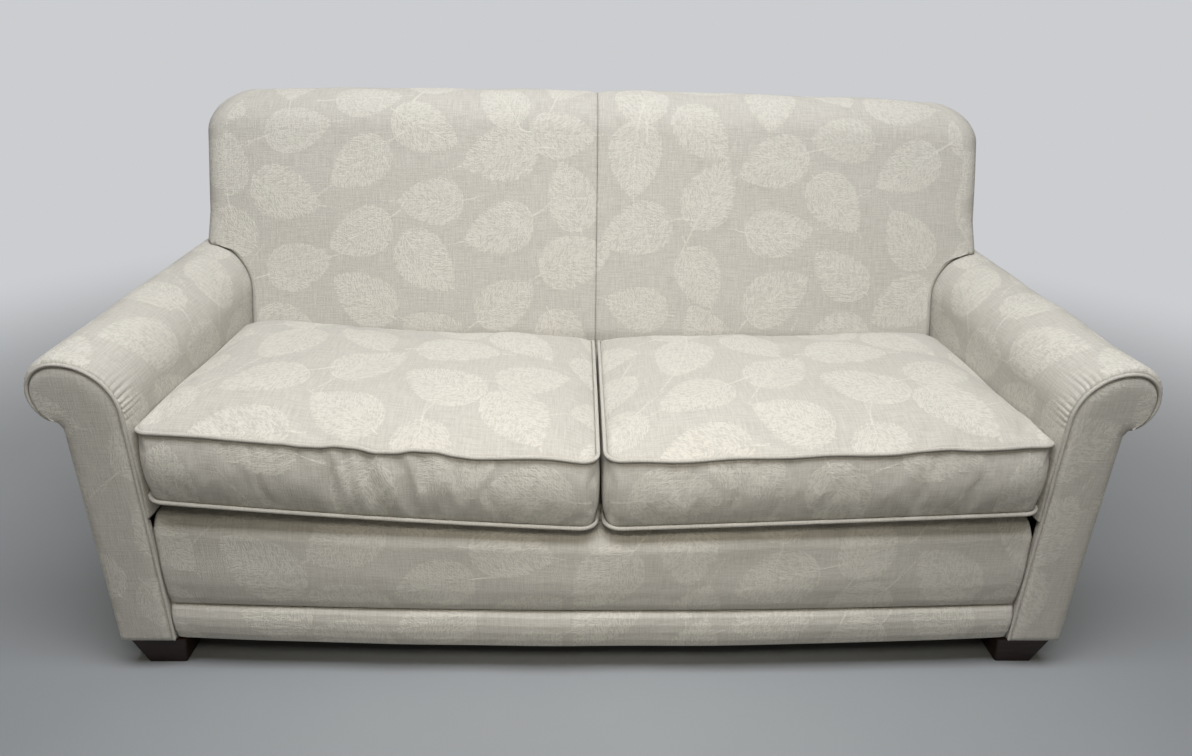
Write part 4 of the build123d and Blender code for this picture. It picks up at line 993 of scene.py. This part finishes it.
band_front = [[0.0135, 0.0002], [0.006, 0.0005], [0.001, 0.005], [-0.0035, 0.020], [-0.005, 0.036],
              [-0.004, 0.050], [0.001, 0.063], [0.006, 0.0672], [0.0135, 0.068]]
band_rear = [[0.0138, 0.0003], [0.0138, 0.0678]]
band = make_front("front_band_form", band_front, band_rear, band_heights, 0.015)
dress(band, front_cloth, "sofa", "upholstery", "front_band")

deck_x, deck_y = np.meshgrid(np.linspace(-DECK_WIDE, DECK_WIDE, 121), np.linspace(DECK_FRONT, DECK_BACK, 50))
to_edge = np.minimum(DECK_WIDE - np.abs(deck_x), np.minimum(deck_y - DECK_FRONT, DECK_BACK - deck_y))
fall = 0.006 * np.clip(1 - to_edge / 0.02, 0, 1) ** 2 + 0.0006
deck_top = place(deck_x, deck_y, deck_height(deck_x) - fall)
deck_low = place(deck_x, deck_y, np.full(deck_x.shape, 0.2735))
deck_flat = pairs(deck_x, deck_y)
deck = skins("seat_deck", deck_top, deck_low, straight_rim(deck_top, deck_low, 2), deck_flat)[0]
dress(deck, welt_cloth, "sofa", "deck_cloth", "deck_pad", "deck_cover")
print("border, band and deck made")

# %% [markdown]
# ## Feet, frame and fixings
# The feet are stained wood, nearly black, with a soft shine. The frame inside is pale plain timber,
# the springs and clips are steel, and straps, dust cloth and zips are weaves of their own.

# %% Wood, metal and plain cloth
def make_wood(name, dark, light, roughness, scale):
    """Grain as noise drawn out along the width, mixing two browns, with a little of it as bump."""
    material, tree, shader = new_material(name, roughness, light)
    source = add(tree, "TexCoord").outputs["Object"]
    grain = noise(tree, source, scale, 6.0, (1, 9, 9))
    pores = noise(tree, source, scale * 9, 3.0, (1, 7, 7))
    amount = step_up(tree, calc(tree, "MULTIPLY_ADD", pores, 0.35, grain), 0.42, 0.9)
    rough = calc(tree, "MULTIPLY_ADD", pores, 0.25, roughness - 0.12)
    feed(tree, shader, {"Base Color": mix(tree, amount, dark, light), "Roughness": rough})
    add_bump(tree, shader, pores, 0.15, 0.0008)
    return material


def make_plain_cloth(name, dark, light, threads):
    """A plain weave in two tones of one yarn, placed by Object coordinates."""
    material, tree, shader = new_material(name, 0.9, light)
    yarn = {"Cloth": add(tree, "TexCoord").outputs["Object"], "Threads per metre": threads}
    weave = add(tree, "Group", yarn, node_tree=weave_group).outputs
    tone = step_up(tree, weave["Slubs"], 0.35, 0.65)
    feed(tree, shader, {"Base Color": mix(tree, tone, dark, light)})
    add_bump(tree, shader, weave["Height"], 0.3, 0.0008)
    return material


def make_metal(name, color, roughness):
    """Drawn wire and pressed sheet: fine scratches in the roughness and a faint change of tone."""
    material, tree, shader = new_material(name, roughness, color)
    scratch = noise(tree, add(tree, "TexCoord").outputs["Object"], 300.0, 4.0, (1, 6, 6))
    deep = tuple(0.8 * c for c in color[:3]) + (1,)
    rough = calc(tree, "MULTIPLY_ADD", scratch, 0.3, roughness - 0.15)
    feed(tree, shader, {"Metallic": 1.0, "Roughness": rough, "Base Color": mix(tree, scratch, deep, color)})
    return material


foot_wood = make_wood("dark stained foot", (0.007, 0.003, 0.002, 1), (0.030, 0.013, 0.008, 1), 0.5, 16)
foot_wood.node_tree.nodes["Principled BSDF"].inputs["Specular IOR Level"].default_value = 0.25
frame_wood = make_wood("plain frame timber", (0.52, 0.38, 0.24, 1), (0.74, 0.60, 0.43, 1), 0.7, 7)
steel = make_metal("spring steel", (0.42, 0.42, 0.43, 1), 0.4)
zip_metal = make_metal("zip slider metal", (0.52, 0.47, 0.38, 1), 0.35)
strap_cloth = make_plain_cloth("elastic strap", (0.40, 0.33, 0.23, 1), (0.66, 0.57, 0.42, 1), 420)
dust_cloth = make_plain_cloth("dust cloth", (0.018, 0.018, 0.019, 1), (0.045, 0.045, 0.047, 1), 700)
tape_cloth = make_plain_cloth("zip tape", (0.30, 0.27, 0.22, 1), (0.44, 0.40, 0.34, 1), 900)

materials_by_start = {
    "foot_front": foot_wood, "foot_rear": foot_wood, "foot_bolts": steel, "foot_nuts": steel,
    "seat_springs": steel, "spring_clips": steel, "back_webbing": strap_cloth, "dust_cover": dust_cloth,
    "cushion_zip": tape_cloth, "zip_slider": zip_metal, "outside_back": panel_cloth_across,
    "outside_arm_panel": panel_cloth_along,
}
for node_name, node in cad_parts.items():
    chosen = next((m for start, m in materials_by_start.items() if node_name.startswith(start)), frame_wood)
    node.data.materials.clear()
    node.data.materials.append(chosen)
print("packed nodes with a new material:", len(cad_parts))

# %% [markdown]
# ## Floor, light and camera
# The sofa stands on a plain grey floor that fades out into an even background, so it can be looked at
# from every side. One broad lamp hangs high in front: seats and arm tops are bright and upright faces
# are in half tone. Two weak lamps and a faint warm world fill the shade. The background's own tone is
# seen by the camera only. The camera stands where the viewer of the real sofa stood: close, above it.

# %% Floor
FLOOR_HALF, FLOOR_POINTS = 6, 41
floor_even = np.linspace(-FLOOR_HALF, FLOOR_HALF, FLOOR_POINTS)
floor_x, floor_y = np.meshgrid(floor_even, floor_even)
floor_points = np.stack([floor_x, floor_y, 0 * floor_x], axis=-1).reshape(-1, 3)
floor_flat = pairs(floor_x, floor_y)
floor_quads = quads_of(np.arange(FLOOR_POINTS**2).reshape(FLOOR_POINTS, FLOOR_POINTS))
floor = make_piece("studio_floor", floor_points, [(floor_quads, corners_of(floor_flat))])
floor_paint, floor_tree, floor_shader = new_material("grey studio floor", 0.7, (0.28, 0.29, 0.31, 1))
floor_source = add(floor_tree, "TexCoord").outputs["Object"]
floor_cloud = noise(floor_tree, floor_source, 1.6, 5.0)
floor_color = mix(floor_tree, floor_cloud, (0.255, 0.268, 0.282, 1), (0.305, 0.318, 0.332, 1))
feed(floor_tree, floor_shader, {"Base Color": floor_color})
from_sofa = add(floor_tree, "VectorMath", {0: floor_source}, operation="LENGTH").outputs["Value"]
clear = add(floor_tree, "BsdfTransparent").outputs[0]
faded = {0: step_up(floor_tree, from_sofa, 1.1, 3.2), 1: floor_shader.outputs[0], 2: clear}
floor_look = add(floor_tree, "MixShader", faded).outputs[0]
feed(floor_tree, floor_tree.nodes["Material Output"], {"Surface": floor_look})
floor.data.materials.append(floor_paint)

# %% Lights
world = bpy.data.worlds.new("pale room")
bpy.context.scene.world = world
world.use_nodes = True
sky = world.node_tree
lighting = sky.nodes["Background"]
feed(sky, lighting, {"Color": (1.0, 0.92, 0.75, 1), "Strength": 0.10})
seen_sky = add(sky, "Background", {"Color": (0.60, 0.61, 0.63, 1)}).outputs[0]
by_camera = add(sky, "LightPath").outputs["Is Camera Ray"]
either = add(sky, "MixShader", {0: by_camera, 1: lighting.outputs[0], 2: seen_sky}).outputs[0]
feed(sky, sky.nodes["World Output"], {"Surface": either})


def stance(right, up, back, spot):
    """The matrix of a thing at a spot, from the ways of its own right, top and back."""
    matrix = np.eye(4)
    matrix[:3, :4] = np.stack([right, up, back, spot], axis=1)
    return Matrix(matrix.tolist())


def lamp(name, spot, aim, size, power, color, spread):
    """A rectangular lamp at a spot, turned to the aim, its beam as wide as the spread in degrees."""
    light = bpy.data.lights.new(name, "AREA")
    light.shape = "RECTANGLE"
    light.size, light.size_y = size
    light.energy = power
    light.color = color
    light.spread = np.radians(spread)
    holder = bpy.data.objects.new(name, light)
    bpy.context.scene.collection.objects.link(holder)
    back = unit(np.array(spot, float) - np.array(aim, float))
    right = unit(np.cross((0.0, 1.0, 0.0), back))
    holder.matrix_world = stance(right, np.cross(back, right), back, spot)


lamp("ceiling lamp", (0.0, -0.90, 2.8), (0.0, 0.05, 0.4), (2.4, 1.0), 82, (0.96, 0.975, 1.0), 180)
lamp("rear lamp", (0.0, 2.3, 1.9), (0.0, 0.4, 0.5), (2.0, 1.0), 14, (1.0, 0.98, 0.95), 180)
lamp("front lamp", (0.0, -1.70, 1.75), (0.0, -0.4, 0.28), (0.6, 0.4), 2.0, (1.0, 0.94, 0.80), 70)

# %% Camera
CAMERA_SPOT = (-0.0481, -1.5646, 1.0941)
CAMERA_YAW, CAMERA_PITCH, CAMERA_ROLL = np.radians((1.748, 23.862, 1.223))
level = np.cos(CAMERA_PITCH)
ahead = np.array([np.sin(CAMERA_YAW) * level, np.cos(CAMERA_YAW) * level, -np.sin(CAMERA_PITCH)])
right = np.array([np.cos(CAMERA_YAW), -np.sin(CAMERA_YAW), 0])
up = np.cross(right, ahead)
turned_right = right * np.cos(CAMERA_ROLL) + up * np.sin(CAMERA_ROLL)
turned_up = up * np.cos(CAMERA_ROLL) - right * np.sin(CAMERA_ROLL)
camera = bpy.data.objects.new("camera", bpy.data.cameras.new("camera"))
camera.data.sensor_fit = "HORIZONTAL"
camera.data.sensor_width = 36
camera.data.lens = 24.715
camera.matrix_world = stance(turned_right, turned_up, -ahead, CAMERA_SPOT)
bpy.context.scene.collection.objects.link(camera)
bpy.context.scene.camera = camera
bpy.context.scene.view_settings.view_transform = "Standard"
print("floor, three lamps and the camera set up")
